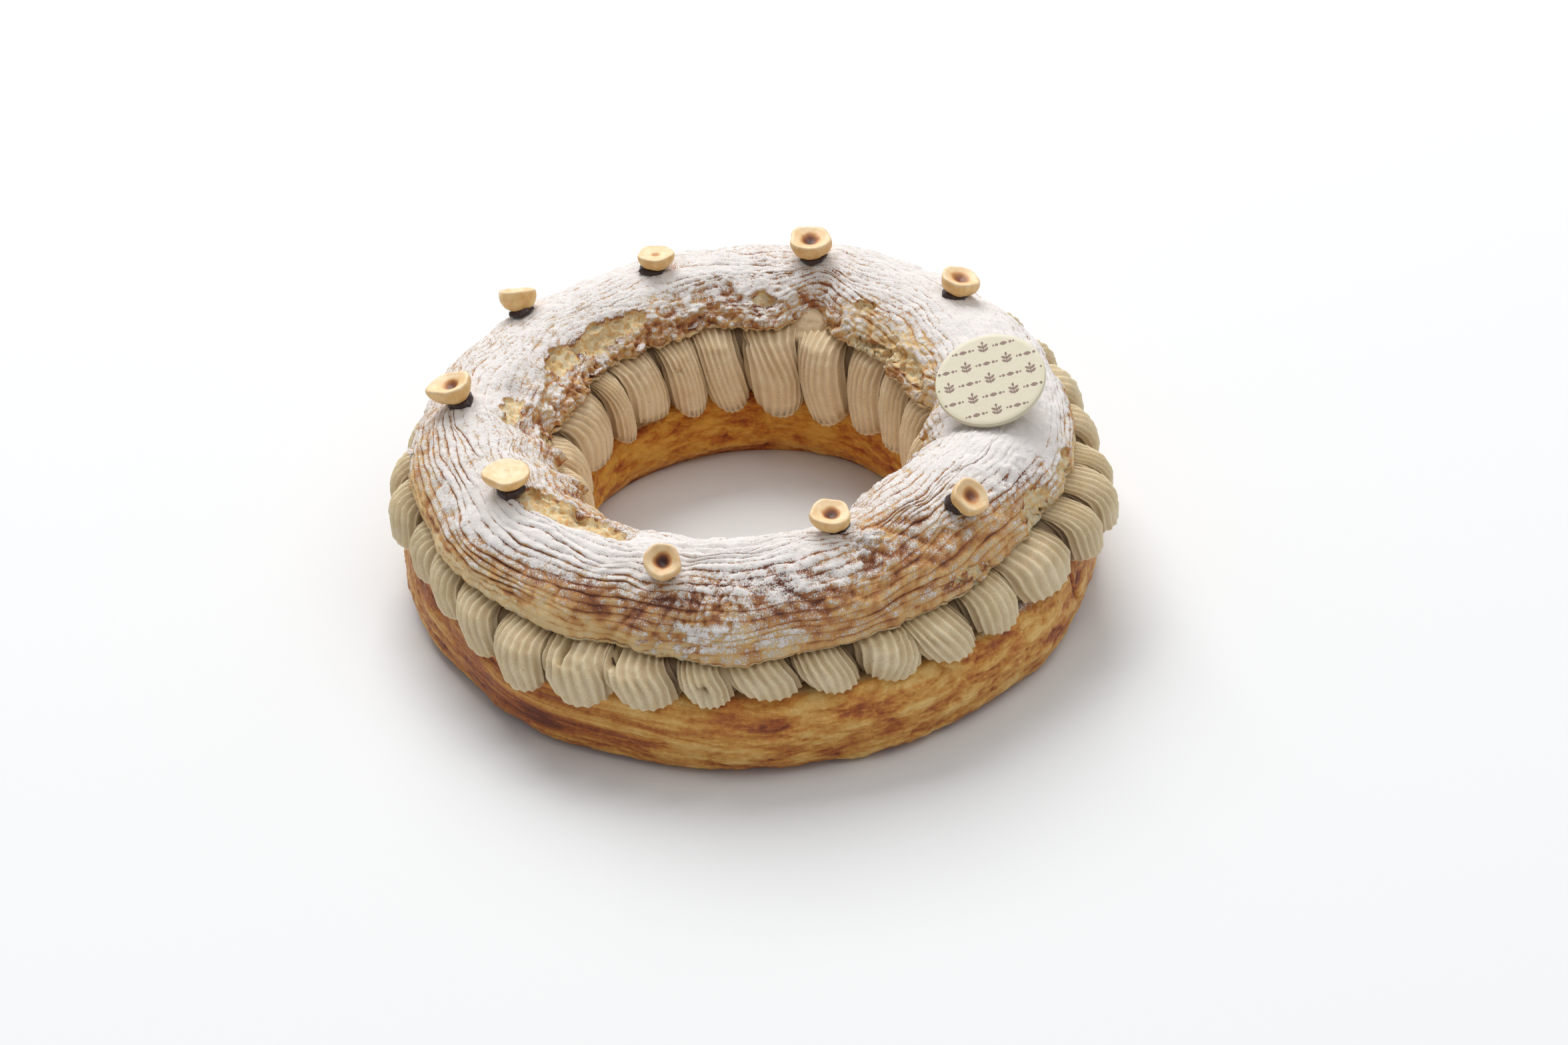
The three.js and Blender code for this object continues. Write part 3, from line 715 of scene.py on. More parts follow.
def base_rows(angle):
    """Radius and height of the base's section all round, up its outer wall, in over the cut face,
    down its inner wall and out below, and the radius of its outer and inner bulge."""
    outer = BASE.radius + change_at(BASE_SWELLS, angle) + BASE.uneven * ring_wave(11, 3, 12, angle)
    inner = BASE.hole_radius + BASE.uneven * ring_wave(12, 3, 9, angle)
    outer_in, outer_up = outline_points(BASE_OUTER_WALL, 44)
    inner_out, inner_up = outline_points(BASE_INNER_WALL, 32)
    top_outer, top_inner = outer - outer_in[-1], inner + inner_out[0]
    foot_inner, foot_outer = inner + inner_out[-1], outer - outer_in[0]
    shelf = top_outer + (top_inner - top_outer) * BASE_SHELF_ROWS
    foot = foot_inner + (foot_outer - foot_inner) * BASE_FOOT_ROWS
    radius = np.concatenate([outer - outer_in, shelf, inner + inner_out, foot], axis=1)
    shelf_up = np.full(len(BASE_SHELF_ROWS), BASE.height)
    height = np.concatenate([outer_up, shelf_up, inner_up, np.zeros(len(BASE_FOOT_ROWS))])
    return radius, height, outer, inner


def base_features(angle, radius, height, inner):
    """The dough's flow, folds, furrows and lumps, and the crust's pits, crack and torn pockets."""
    grid = ring_points(radius, angle, height)
    # The folds lie along the ring in front and climb steeply at the left.
    slant = 1.4 * hump(turn(-160, angle) / 50) - 0.25 * (radius < 80)
    across = height + 0.35 * (radius - inner)
    flow = flow_places(angle, across, np.where(radius < 80, 60, 112), 3.2, slant)
    crack = hump(turn(-27.3 + 0.9 * np.sin(height / 4), angle) / 0.35)
    crack = crack * smooth_step(0.35, 0.6, height / BASE.height) * (radius > 90)
    pocket = zone_at(BASE_POCKETS, height, angle, BASE.hole_radius) * (radius < 70)
    return Values(
        flow=flow,
        folds=rough(flow, 4.5, 41, octaves=3, fall=0.6),
        furrows=smooth_step(0.12, 0, np.abs(rough(flow, 7, 45))),
        lumps=rough(grid, 22, 44),
        fine=rough(grid, 2.6, 47),
        pits=holes(grid, 3.4, 51, 0.3),
        crack=crack,
        pocket=pocket,
    )


def base_piece():
    angle = ring_angles(BASE_COLUMNS)
    radius, height, outer, inner = base_rows(angle)
    has = base_features(angle, radius, height, inner)
    relief = 0.7 * has.lumps + 0.55 * has.folds + 0.2 * has.fine - 0.5 * has.pits - 1.6 * has.crack
    relief = relief - 0.4 * has.furrows - has.pocket * (1 + 0.6 * has.fine)
    standing = smooth_step(0, 1.6, height)  # keeps the foot flat on the table
    grid = ring_points(radius, angle, height)
    grid = grid + normals_of(grid) * (relief * standing)[..., None]
    grid[..., 2] = np.maximum(grid[..., 2], 0)

    bake = 0.1 * has.lumps - 0.28 * has.folds + 0.15 * has.pits + 0.5 * has.crack
    bake = bake + 0.16 * has.furrows + 0.4 * np.exp(-height / 1.6) - 0.1
    bake = bake + 0.5 * has.pocket * (has.pocket < 0.8)
    bake = bake + np.where(radius > 80, change_at(BASE_BAKED, angle), -0.02)
    upper = height / BASE.height
    on_shelf = smooth_step(0.985, 1, upper) * smooth_step(2, 6, outer - radius - 4)
    dust = smooth_step(0.9, 1, upper) * (0.5 + 0.35 * noise(grid, 7, 57))
    add_piece(
        "base_crust",
        grid,
        [grid_faces(*grid.shape[:2])],
        base_material(),
        "choux_base",
        ["base_choux"],
        flow=has.flow * MM,
        bake=bake,
        crumb=np.maximum(on_shelf, smooth_step(0.7, 1, has.pocket)),
        sugar=dust * change_at(BASE_SUGARED, angle) + 0.3 * smooth_step(0.5, 1, has.pocket),
        golden=(radius < 70) * smooth_step(0, 8, height),
    )


# ---- Lid ----


def lid_plane(x, y):
    """Height of the lid's widest edge, as a surface that goes on over the hole."""
    return LID.rim_height + LID.slope_x * x + LID.slope_y * y + LID.bend_y * y**2


def lid_points(radius, angle, rise):
    points = ring_points(radius, angle, rise)
    points[..., 0] += LID.centre_x
    points[..., 2] += lid_plane(points[..., 0], points[..., 1])
    return points


def even_arcs():
    """A table of arcs against the share of the way across the crust, for a mean section."""
    arc = np.linspace(0, math.pi, 400)
    flank = np.where(np.cos(arc) > 0, LID.outer_flank, LID.inner_flank)
    across = (LID.radius - LID.hole_radius) * (1 + np.cos(arc)) / 2
    step = np.hypot(np.diff(across), np.diff(LID.rise * np.sin(arc) ** flank))
    way = np.concatenate([[0], np.cumsum(step)])
    return way / way[-1], arc


def lid_edges(angle):
    """The lid's outer and inner radius and its rise, as in the CAD source."""
    outer = LID.radius + change_at(LID_RIM_CHANGES, angle)
    outer = outer + LID.uneven * ring_wave(21, 5, 19, angle)
    inner = LID.hole_radius + change_at(LID_HOLE_CHANGES, angle)
    inner = inner + 1.5 * LID.uneven * ring_wave(22, 6, 24, angle)
    rise = LID.rise - LID.front_rise * np.sin(np.radians(angle))
    return outer, inner, rise + LID.uneven * ring_wave(23, 2, 7, angle)


def torn_edges(angle):
    """How far the outer and the inner edge are torn out of their smooth line."""
    place = ring_points(80, angle, 0)
    outer = (0.5 + change_at(RAGGED_RIM, angle)) * rough(place, 5, 61, octaves=3, fall=0.75)
    teeth = np.abs(rough(place, 7, 67)) + 0.5 * np.abs(rough(place, 2.6, 69))
    inner = 1.5 * rough(place, 9, 63, octaves=4, fall=0.75)
    return outer, inner + change_at(RAGGED_HOLE, angle) * (1 - 3.2 * teeth)


def valley_depth(part, peak):
    """From 0 on a ridge's crest, which is at its peak, to 1 in the valleys at part 0 and 1."""
    return np.where(part < peak, (peak - part) / peak, (part - peak) / (1 - peak)) ** 1.7


def wrinkles_across(radius, angle):
    """Fine wrinkles that meet in a herringbone at the middle of the front, 0 to 1 deep."""
    along = np.radians(turn(-97, angle)) * LID_MIDDLE
    tilt = np.radians(40) * np.tanh(along / 4)
    drawn = (along * np.cos(tilt) + radius * np.sin(tilt)) / 4
    across = radius * np.cos(tilt) - along * np.sin(tilt)
    places = np.stack([drawn, across, np.zeros(drawn.shape)], axis=-1)
    return smooth_step(0.4, 0, np.abs(noise(places, 3.6, 92)))


def lid_flow(lid, stretch):
    """Places for noise that is drawn out along the rows."""
    return flow_places(lid.angle, LID_ACROSS * lid.share, LID_MIDDLE, stretch)


def lid_form():
    """The crust's points before its fine relief. Each row is on a part of a ridge, at a share of
    the way across; way is that of each point, from 0 at the rim to 1 at the hole."""
    ridge, part = np.meshgrid(np.arange(TERRACES), TERRACE_ROWS, indexing="ij")
    ridge = np.append(ridge.ravel(), TERRACES)[None, :]
    part = np.append(part.ravel(), 0)[None, :]
    share = (ridge + part) / TERRACES
    lid = Values(angle=ring_angles(LID_COLUMNS), row=ridge + part, part=part, share=share)

    # The ridges wander across the ring.
    wander = 2 * rough(lid_flow(lid, 3), 15, 71) + 0.55 * noise(lid_flow(lid, 2), 6, 73)
    wander = wander + 0.2 * noise(lid_flow(lid, 1.4), 3, 79)
    way = np.clip(share + wander / TERRACES * np.sin(math.pi * share) ** 0.5, 0, 1)
    lid.way = 0.93 * np.maximum.accumulate(way, axis=1) + 0.07 * share  # no row crosses the next

    lid.outer, lid.inner, rise = lid_edges(lid.angle)
    arc = np.interp(lid.way, *even_arcs())
    flank = np.where(np.cos(arc) > 0, LID.outer_flank, LID.inner_flank)
    torn_outer, torn_inner = torn_edges(lid.angle)
    lid.radius = lid.inner + (lid.outer - lid.inner) * (1 + np.cos(arc)) / 2
    lid.radius = lid.radius + torn_outer * smooth_step(0.12, 0, lid.way)
    lid.radius = lid.radius + torn_inner * smooth_step(0.8, 1, lid.way)
    lid.outer, lid.inner = lid.outer + torn_outer, lid.inner + torn_inner
    dome = np.sin(arc) ** flank * (rise + zone_at(LID_RELIEF, lid.radius, lid.angle))
    lid.crust = lid_points(lid.radius, lid.angle, dome)
    return lid


def lid_cut(lid):
    """The rows of the cut face below, from the hole's edge out to the rim."""
    width = lid.outer - lid.inner - 2 * LID.undercut
    rows = [
        (lid.inner + 0.35 * LID.undercut, 0.5),
        (lid.inner + LID.undercut + width * LID_CUT_ROWS, 1),
        (lid.outer - 0.35 * LID.undercut, 0.5),
    ]
    faces = [lid_points(radius, lid.angle, -drop * LID.skirt) for radius, drop in rows]
    return np.concatenate(faces, axis=1)


def lid_features(lid):
    """Where the crust has ridges, crumb, wrinkles, knobs and rags, and how strong each is."""
    angle, radius, way, crust = lid.angle, lid.radius, lid.way, lid.crust
    patchy = rough(crust, 6, 81, octaves=3, fall=0.7)
    torn = zone_at(CRUMB_ZONES, radius, angle)
    crumb = smooth_step(0.4, 0.55, torn + 0.35 * patchy * smooth_step(0.05, 0.4, torn))
    knobbly = zone_at(KNOBBLY_ZONES, radius, angle)
    hatched = zone_at(HATCHED_ZONES, radius, angle)
    smoothed = np.clip(crumb + 0.6 * knobbly + 0.6 * hatched, 0, 1)

    # Some ridges fade into their neighbours, and each valley has its own depth.
    fading = 0.65 + 0.85 * noise(lid_flow(lid, 4), 5, 75) + 0.5 * noise(lid_flow(lid, 2), 2.8, 77)
    deeper = 0.9 + 0.4 * np.sin(2.4 * np.round(lid.row))
    strength = np.clip(0.6 + zone_at(RIDGE_ZONES, radius, angle), 0.05, 1)
    strength = strength * np.clip(fading, 0.15, 1.2) * deeper * (1 - smoothed)
    wrinkles = np.abs(rough(flow_places(angle, radius, LID_MIDDLE, 2.4), 4.4, 91))
    folded = 0.4 + 0.4 * smooth_step(0.3, 0.15, way) + 0.8 * smooth_step(0.6, 0.9, way)
    return Values(
        patchy=patchy,
        torn=torn,
        crumb=crumb,
        knobbly=knobbly,
        strength=strength,
        valleys=valley_depth(lid.part, 0.22 + 0.5 * smooth_step(0.35, 0.8, way)),
        wrinkled=folded * smooth_step(0.35, 0, wrinkles),
        hatching=hatched * wrinkles_across(radius, angle),
        ragged=zone_at(RAGGED_ZONES, radius, angle),
        lumps=rough(crust, 11, 84),
        fine=rough(crust, 3, 87, octaves=3, fall=0.65),
        clods=rough(crust, 4.5, 121, octaves=3, fall=0.6),
    )


def lid_relief(lid, has):
    """How far each point of the crust is pushed out."""
    edge = smooth_step(0, 0.06, lid.way) * smooth_step(1, 0.94, lid.way)
    pores = holes(lid.crust, 3.2, 94, 0.8)
    height = 0.6 * has.lumps + 0.3 * has.fine - 0.4 * has.wrinkled - 0.9 * has.hatching
    height = height + 0.9 * edge * has.strength * (0.45 - has.valleys)
    height = height + 1.4 * has.knobbly * has.clods + has.ragged * (1.3 * has.patchy - 0.3)
    return height - has.crumb * (1.6 + 1.5 * pores + 1.4 * has.clods)


def lid_looks(lid, has, slope):
    """How browned, sugared and torn open the crust is. slope is 1 where it's level."""
    # A pale band of crumb shows at the rim, below a browned line.
    band = 0.055 + 0.012 * has.patchy[:, :1] + 0.02 * noise(lid.crust, 3, 103)
    bare = np.clip(change_at(BARE_RIM, lid.angle), 0, 1)
    rim_crumb = smooth_step(band + 0.012, band, lid.way) * bare
    line = hump((lid.way - band - 0.02) / 0.014) * bare

    scored = np.clip(has.strength + 0.25, 0, 1) * has.valleys**3
    sugar = 0.6 + zone_at(SUGAR_ZONES, lid.radius, lid.angle)
    sugar = sugar * (0.25 + 0.75 * smooth_step(0.1, 0.75, slope)) - 0.75 * scored
    sugar = sugar - 1.1 * has.crumb - 0.3 * (rim_crumb + line + has.wrinkled) - 0.4 * has.hatching
    sugar = sugar + 0.1 * has.fine + has.ragged * (0.3 * has.patchy - 0.1)
    sugar = sugar + has.knobbly * (0.4 * has.clods - 0.05)
    bake = zone_at(BROWN_ZONES, lid.radius, lid.angle) + 0.6 * scored + 0.35 * line
    bake = bake + 0.08 * has.lumps + 0.3 * has.wrinkled + 0.45 * has.hatching
    bake = bake - 0.2 * has.ragged * has.patchy - 0.3 * has.knobbly * (has.clods - 0.3)
    bake = bake + 0.35 * smooth_step(0.3, 0.5, has.torn) * (1 - has.crumb)
    return bake, sugar, np.maximum(has.crumb, 0.52 * rim_crumb)


def lid_piece(material):
    """The crust and its cut face, as one piece. What it returns places crumbs and flakes."""
    lid = lid_form()
    cut = lid_cut(lid)
    has = lid_features(lid)
    rows = lid.crust.shape[1]
    grid = np.concatenate([lid.crust, cut], axis=1)
    out = normals_of(grid)
    relief = np.concatenate([lid_relief(lid, has), 0.35 * rough(cut, 3, 99)], axis=1)
    grid = grid + out * relief[..., None]
    lid.grid, lid.out = grid[:, :rows], out[:, :rows]

    bake, sugar, crumb = lid_looks(lid, has, normals_of(grid)[:, :rows, 2])
    flow = flow_places(lid.angle, lid.radius, LID_MIDDLE, 4)
    pad = ((0, 0), (0, cut.shape[1]))
    add_piece(
        "lid_crust",
        grid,
        [grid_faces(*grid.shape[:2])],
        material,
        "choux_lid",
        ["lid_choux"],
        flow=np.pad(flow, (*pad, (0, 0)), mode="edge") * MM,
        bake=np.pad(bake, pad),
        sugar=np.pad(sugar, pad),
        crumb=np.pad(crumb, pad, constant_values=1),
    )
    return lid


# ---- Cream ----


def crease_at(row, shell):
    return row.first_crease + 360 * shell / row.count + row.shifts.get(shell % row.count, 0)


def shell_front(row, shell, swell, lean):
    """A shell's smooth front: columns from crease to crease, from under its tip to its top."""
    left, right = crease_at(row, shell), crease_at(row, shell + 1)
    steps = np.arange(row.flutes)[:, None] + np.array(FLUTE_COLUMNS)
    part = np.append(steps.ravel(), row.flutes)[:, None] / row.flutes
    crest = 1 - np.abs(2 * (part * row.flutes % 1) - 1)
    back, share = (line[None, :] for line in outline_points(row.profile, row.levels))
    shift = row.seed * 97 + shell * 13
    phi = math.pi * part
    place = np.stack(np.broadcast_arrays(3 * phi, 6 * share, shift), axis=-1)
    twist = row.twists.get(shell, 0.3 * math.sin(shift)) * (share - 0.45)
    twist = twist + row.bends.get(shell, 0.2 * math.cos(shift)) * np.sin(math.pi * share)
    phi = phi + np.sin(phi) * (twist + 0.1 * noise(place, 4, 3))
    crown = np.sin(phi)

    half = (right - left) / 2 * spline(*zip(*row.widths), share)
    angle = (left + right) / 2 - np.cos(phi) * half
    bulge = row.radius + row.side * (swell + change_at(row.swells, angle))
    reach = np.abs(bulge - row.top_radius) / row.profile[-1][0]
    back = back * (1 + (reach - 1) * smooth_step(0.6, 1, share))
    radius = bulge - row.side * (back + row.crease * (1 - crown))
    tip = crown**0.8 * (row.droop + change_at(row.droops, angle)) + 0.5 * crown
    tip = BASE.height + CREAM_GAP - tip
    angle = angle + lean * share
    under_lid = ring_points(row.top_radius, angle[:, -1:], 0)
    top = lid_plane(under_lid[..., 0], under_lid[..., 1]) - LID.skirt - 0.1
    points = ring_points(radius, angle, tip + (top - tip) * share)
    return Values(points=points, radius=radius, angle=angle, top=top, crown=crown, crest=crest,
                  place=place, shift=shift)


def fluted(row, shell, front):
    """A front's points with the star nozzle's flutes, narrow crests with broad grooves between
    them, and with its air holes; and how deep in a groove each point lies."""
    points = front.points
    along, up = np.gradient(points, axis=0), np.gradient(points, axis=1)
    out = unit(row.side * np.cross(along, up))
    groove = (1 - front.crest**1.5) * smooth_step(0, 0.12, front.crown)
    groove = groove * (0.9 + 0.25 * noise(front.place, 2, 5))
    groove = groove * np.interp(np.linspace(0, 1, row.levels), *zip(*FLUTE_DEPTHS))
    relief = 0.16 * rough(points, 3.5, front.shift) - row.flute * groove
    relief = relief + row.slumps.get(shell, 0) * rough(points, 4.5, front.shift + 7)
    for at, level, size, depth in row.air_holes:
        along_ring = np.radians(turn(at, front.angle)) * row.radius
        away = np.hypot(along_ring, points[..., 2] - level) / size
        relief = relief - depth * np.exp(-(away**4))
    return points + out * relief[..., None], groove


def shell_points(row, shell, swell, lean):
    """One shell's columns from crease to crease, each from the core out under its tip, up its
    front and back in over its top, and how deep in a groove each point lies."""
    front = shell_front(row, shell, swell, lean)
    outside, groove = fluted(row, shell, front)
    first, last = front.angle[:, :1], front.angle[:, -1:]
    foot = row.side * np.minimum(row.side * row.foot_radius, row.side * front.radius[:, :1] - 1)
    core_foot = ring_points(row.core_radius, first, BASE.height + CREAM_GAP)
    foot = ring_points(foot, first, BASE.height + CREAM_GAP)
    core_top = ring_points(row.core_radius, last, front.top - 1.5)
    points = np.concatenate([core_foot, foot, outside, core_top], axis=1)
    # The creases get up to 2.2 more, which paints shade between the shells through the groove attribute.
    groove = np.pad(groove + 2.2 * (1 - front.crown) ** 2, ((0, 0), (2, 1)))
    return (points, groove) if row.side > 0 else (points[:, ::-1], groove[:, ::-1])


def cream_piece(name, row, material):
    """A row of shells all round, with the cream behind them."""
    random = seeded(row.seed)
    draws = [(next(random), next(random)) for _ in range(row.count)]
    shells = [
        shell_points(row, i, row.uneven * (2 * first - 1), row.lean * (0.5 + second))
        for i, (first, second) in enumerate(draws)
    ]
    grid, groove = (np.concatenate(parts) for parts in zip(*shells))
    faces = grid_faces(*grid.shape[:2])
    add_piece(name, grid, [faces], material, "praline_cream", ["praline_cream"], groove=groove)


def swirl_piece(material):
    """The end of a swirl of cream that stands in the lid's notch at the back."""
    turns = ring_angles(72)
    share = np.linspace(0.03, 1, 34)[None, :]
    height = SWIRL.height * np.cos(share * math.pi / 2) ** 0.8
    dome = ring_points(SWIRL.width / 2 * share, turns, height)
    swept = 15 * share + 2.5 * noise(dome, 7, 58) + np.sin(np.radians(turns + 200 * share))
    ripple = 0.16 * np.cos(swept) * smooth_step(0.1, 0.5, share)
    dome[..., 2] += ripple * np.sqrt(1 - share**2) + 0.6 * rough(dome, 5, 59, octaves=3)
    dome = dome @ leaning(SWIRL.lean, SWIRL.angle + 180).T
    dome = dome + ring_points(SWIRL.radius, SWIRL.angle, SWIRL.level)
    points = np.concatenate([dome.reshape(-1, 3), dome[:, :1].mean(axis=0)])
    faces = grid_faces(*dome.shape[:2], closed_rows=False)[:, ::-1]
    loop = np.arange(len(turns)) * share.size
    faces = [faces, fan_faces(loop, len(points) - 1)]
    # Painted shade: the whole swirl takes the grooves' darkening, more in the troughs of its ripples.
    groove = np.append(1 - 1.2 * ripple.ravel(), 1)
    node = ["praline_cream"]
    add_piece("cream_swirl_end", points, faces, material, "praline_cream", node, groove=groove)


# ---- Toppings ----


def leaning(lean, facing):
    """The turn that takes +Z to a direction that leans from upright towards an angle."""
    direction = ring_points(math.sin(math.radians(lean)), facing, math.cos(math.radians(lean)))
    return np.array(Vector((0, 0, 1)).rotation_difference(Vector(direction)).to_matrix())


def revolved(outline, sides, stretch):
    """Rows of points round Z, one for each outline point, drawn in and out by stretch."""
    angle = ring_angles(sides)
    radius, height = np.array(outline, float).T
    return ring_points(radius * stretch(angle), angle, height)


def capped_faces(sides, rows):
    """Faces of a revolved grid whose first and last rows end in a point each."""
    faces = grid_faces(sides, rows, closed_rows=False)[:, ::-1]
    first = np.arange(sides) * rows
    top, bottom = sides * rows, sides * rows + 1
    return [faces, fan_faces(first, top), fan_faces(first[::-1] + rows - 1, bottom)]


def with_caps(grid, outline):
    ends = [(0, 0, outline[0][1]), (0, 0, outline[-1][1])]
    return np.concatenate([grid.reshape(-1, 3), ends])


def box_middle(node):
    low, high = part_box(node)
    return np.array((low + high) / 2) / MM


def nut_stretch(nut, index):
    def stretch(angle):
        tip = nut.tip * np.maximum(0, np.cos(np.radians(angle - 180))) ** 6
        return 1 + 0.05 * ring_wave(40 + index, 2, 5, angle) + tip

    return stretch


def nut_shift(node, scale, stretch, turned):
    """From a nut half's own origin to its place: there the CAD source's form fills its node's box."""
    outline = np.array(NUT_OUTLINE) * scale
    coarse = with_caps(revolved(outline, NUT_SIDES, stretch), outline) @ turned.T
    return box_middle(node) - (coarse.min(axis=0) + coarse.max(axis=0)) / 2


def nut_piece(nut, index, material):
    """A nut half on its CAD node's place, finer, with its hollow and brown middle."""
    node = f"hazelnut_{index + 1}"
    stretch = nut_stretch(nut, index)
    scale = np.array([nut.width / 2, nut.depth])
    turned = leaning(nut.lean, nut.facing)
    hollow = [(0.05, -nut.hollow - 0.06), (0.2, -nut.hollow), (0.42, -0.35 * nut.hollow - 0.05)]
    radius, height = outline_points(hollow + NUT_RIM + NUT_UNDER, FINE_NUT.rows)
    outline = np.stack([radius, height], axis=-1) * scale
    grid = revolved(outline, FINE_NUT.sides, stretch)

    away = np.hypot(grid[..., 0], grid[..., 1]) / scale[0]
    level = grid[..., 2] / nut.depth
    cut = np.clip(smooth_step(-0.16, -0.04, level) + (away < 0.6) * (level > -0.6), 0, 1)
    ragged = 0.16 * rough(grid + 31 * index, 3.5, 11 + index)
    middle = nut.dark * np.exp(-((away * (1 + ragged) / nut.middle) ** 2.6)) * cut
    relief = 0.28 * rough(grid + 17 * index, 5, 21)
    grid = grid + unit(grid * [1, 1, 1.6] + [0, 0, 0.4 * nut.depth]) * relief[..., None]
    add_piece(
        f"nut_half_{index + 1}",
        with_caps(grid, outline) @ turned.T + nut_shift(node, scale, stretch, turned),
        capped_faces(FINE_NUT.sides, len(outline)),
        material,
        "hazelnut",
        [node],
        cut=np.append(cut, [1, 0]),
        middle=np.append(middle, [nut.dark, 0]),
    )


def dab_piece(node, material):
    """The dab's own form, rounded and grown by a small fixed amount."""
    piece = add_object(f"{node}_set", bpy.data.objects[node].data.copy())
    remesh = piece.modifiers.new("even", "REMESH")
    remesh.mode = "VOXEL"
    remesh.voxel_size = DAB.voxel * MM
    soften = piece.modifiers.new("soften", "SMOOTH")
    soften.iterations = DAB.softened
    push = piece.modifiers.new("grow", "DISPLACE")
    push.strength = DAB.grow * MM
    push.mid_level = 0
    graph = bpy.context.evaluated_depsgraph_get()
    piece.data = bpy.data.meshes.new_from_object(piece.evaluated_get(graph))
    piece.modifiers.clear()
    piece.data.materials.clear()
    piece.data.materials.append(material)
    piece.data.shade_smooth()
    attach(piece, "root")
    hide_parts(node)


# ---- Disc ----


def disc_frame():
    return leaning(DISC.lean, DISC.facing), box_middle("white_chocolate_disc")


def disc_piece(material):
    """The disc, with a rounded edge."""
    half, edge = DISC.thickness / 2, DISC.width / 2
    bend = np.radians(np.linspace(90, -90, 14))
    rounded = [(edge - DISC.round + DISC.round * math.cos(b), math.sin(b) * half) for b in bend]
    shares = (0.1, 0.4, 0.7, 0.9)
    outline = [(share * edge, half) for share in shares] + rounded
    outline += [(share * edge, -half) for share in reversed(shares)]
    turned, place = disc_frame()
    points = with_caps(revolved(outline, DISC.sides, np.ones_like), outline) @ turned.T + place
    faces = capped_faces(DISC.sides, len(outline))
    node = ["white_chocolate_disc"]
    add_piece("disc_tag", points, faces, material, "white_chocolate", node)


def leaf(x, y, length, width, heading):
    """The outline of a pointed leaf that starts at a place and points in a heading."""
    along = np.linspace(0, 1, 7)
    side = width / 2 * np.sin(math.pi * along)
    upper = np.stack([along * length, side], axis=-1)
    lower = np.stack([along[-2:0:-1] * length, -side[-2:0:-1]], axis=-1)
    spin = math.radians(heading)
    turned = np.array([[math.cos(spin), math.sin(spin)], [-math.sin(spin), math.cos(spin)]])
    return np.concatenate([upper, lower]) @ turned + [x, y]


def dot(x, y, radius):
    angle = np.radians(np.arange(0, 360, 36))
    return np.stack([x + radius * np.cos(angle), y + radius * np.sin(angle)], axis=-1)


def sprig():
    """A stem with four leaves and a bud."""
    leaves = [leaf(0, -1.5, 3.0, 0.3, 90), leaf(0, 0.9, 1.0, 0.6, 90)]
    for rise in (-1.0, 0.0):
        leaves += [leaf(0, rise, 1.5, 0.66, 38), leaf(0, rise, 1.5, 0.66, 142)]
    return leaves


def beads():
    """A lozenge between pairs of dots."""
    shapes = [leaf(-0.9, 0, 1.8, 1.0, 0)]
    for away, radius in ((1.55, 0.36), (2.3, 0.24)):
        shapes += [dot(-away, 0, radius), dot(away, 0, radius)]
    return shapes


def print_shapes():
    """Staggered rows of sprigs and beads, those that lie whole within the disc's edge."""
    limit = DISC.width / 2 - 0.5
    shapes = []
    for row in range(PRINT.rows):
        y = (row - (PRINT.rows - 1) / 2) * PRINT.row_pitch
        for step in range(-2, 3):
            x = (step + row % 2 / 2) * PRINT.pitch
            for outlines, middle in ((sprig(), x), (beads(), x + PRINT.pitch / 2)):
                shapes += [PRINT.scale * outline + [middle, y] for outline in outlines]
    return [shape for shape in shapes if np.hypot(*shape.T).max() < limit]


def print_piece(material):
    """The pattern's shapes as thin plates that stand out of the disc's face."""
    turned, place = disc_frame()
    spin = math.radians(PRINT.turn)
    level = np.array([math.cos(spin), math.sin(spin), 0])
    up = turned @ [0, 0, 1]
    across = unit(level - up * (level @ up))
    along = np.cross(up, across)
    points, faces, count = [], [], 0
    for shape in print_shapes():
        corners = len(shape)
        for lift in (PRINT.lift, -PRINT.lift):
            middle = place + up * (DISC.thickness / 2 + lift)
            points.append(middle + shape[:, :1] * across + shape[:, 1:] * along)
        loop = np.arange(corners)
        after = np.roll(loop, -1)
        walls = np.stack([loop, loop + corners, after + corners, after], axis=-1) + count
        faces += [walls, loop[None, :] + count, loop[None, ::-1] + corners + count]
        count += 2 * corners
    piece = add_piece("disc_print", np.concatenate(points), faces, material, "white_chocolate")
    piece.data.shade_flat()


# ---- Loose bits ----


def lump_shape():
    """The corners and faces of a twelve-cornered lump, about 1 across."""
    golden = (1 + 5**0.5) / 2
    signs = product(range(3), (-1, 1), (-1, 1))
    corners = [np.roll((0, first, second * golden), shift) for shift, first, second in signs]
    corners = np.array(corners, float) / (2 * golden)
    faces = []
    for a, b, c in combinations(range(12), 3):
        sides = [corners[a] - corners[b], corners[b] - corners[c], corners[c] - corners[a]]
        if max(np.linalg.norm(sides, axis=1)) < 0.7:
            out = np.cross(corners[b] - corners[a], corners[c] - corners[a])
            faces.append((a, b, c) if out @ corners[a] > 0 else (a, c, b))
    return corners, np.array(faces)


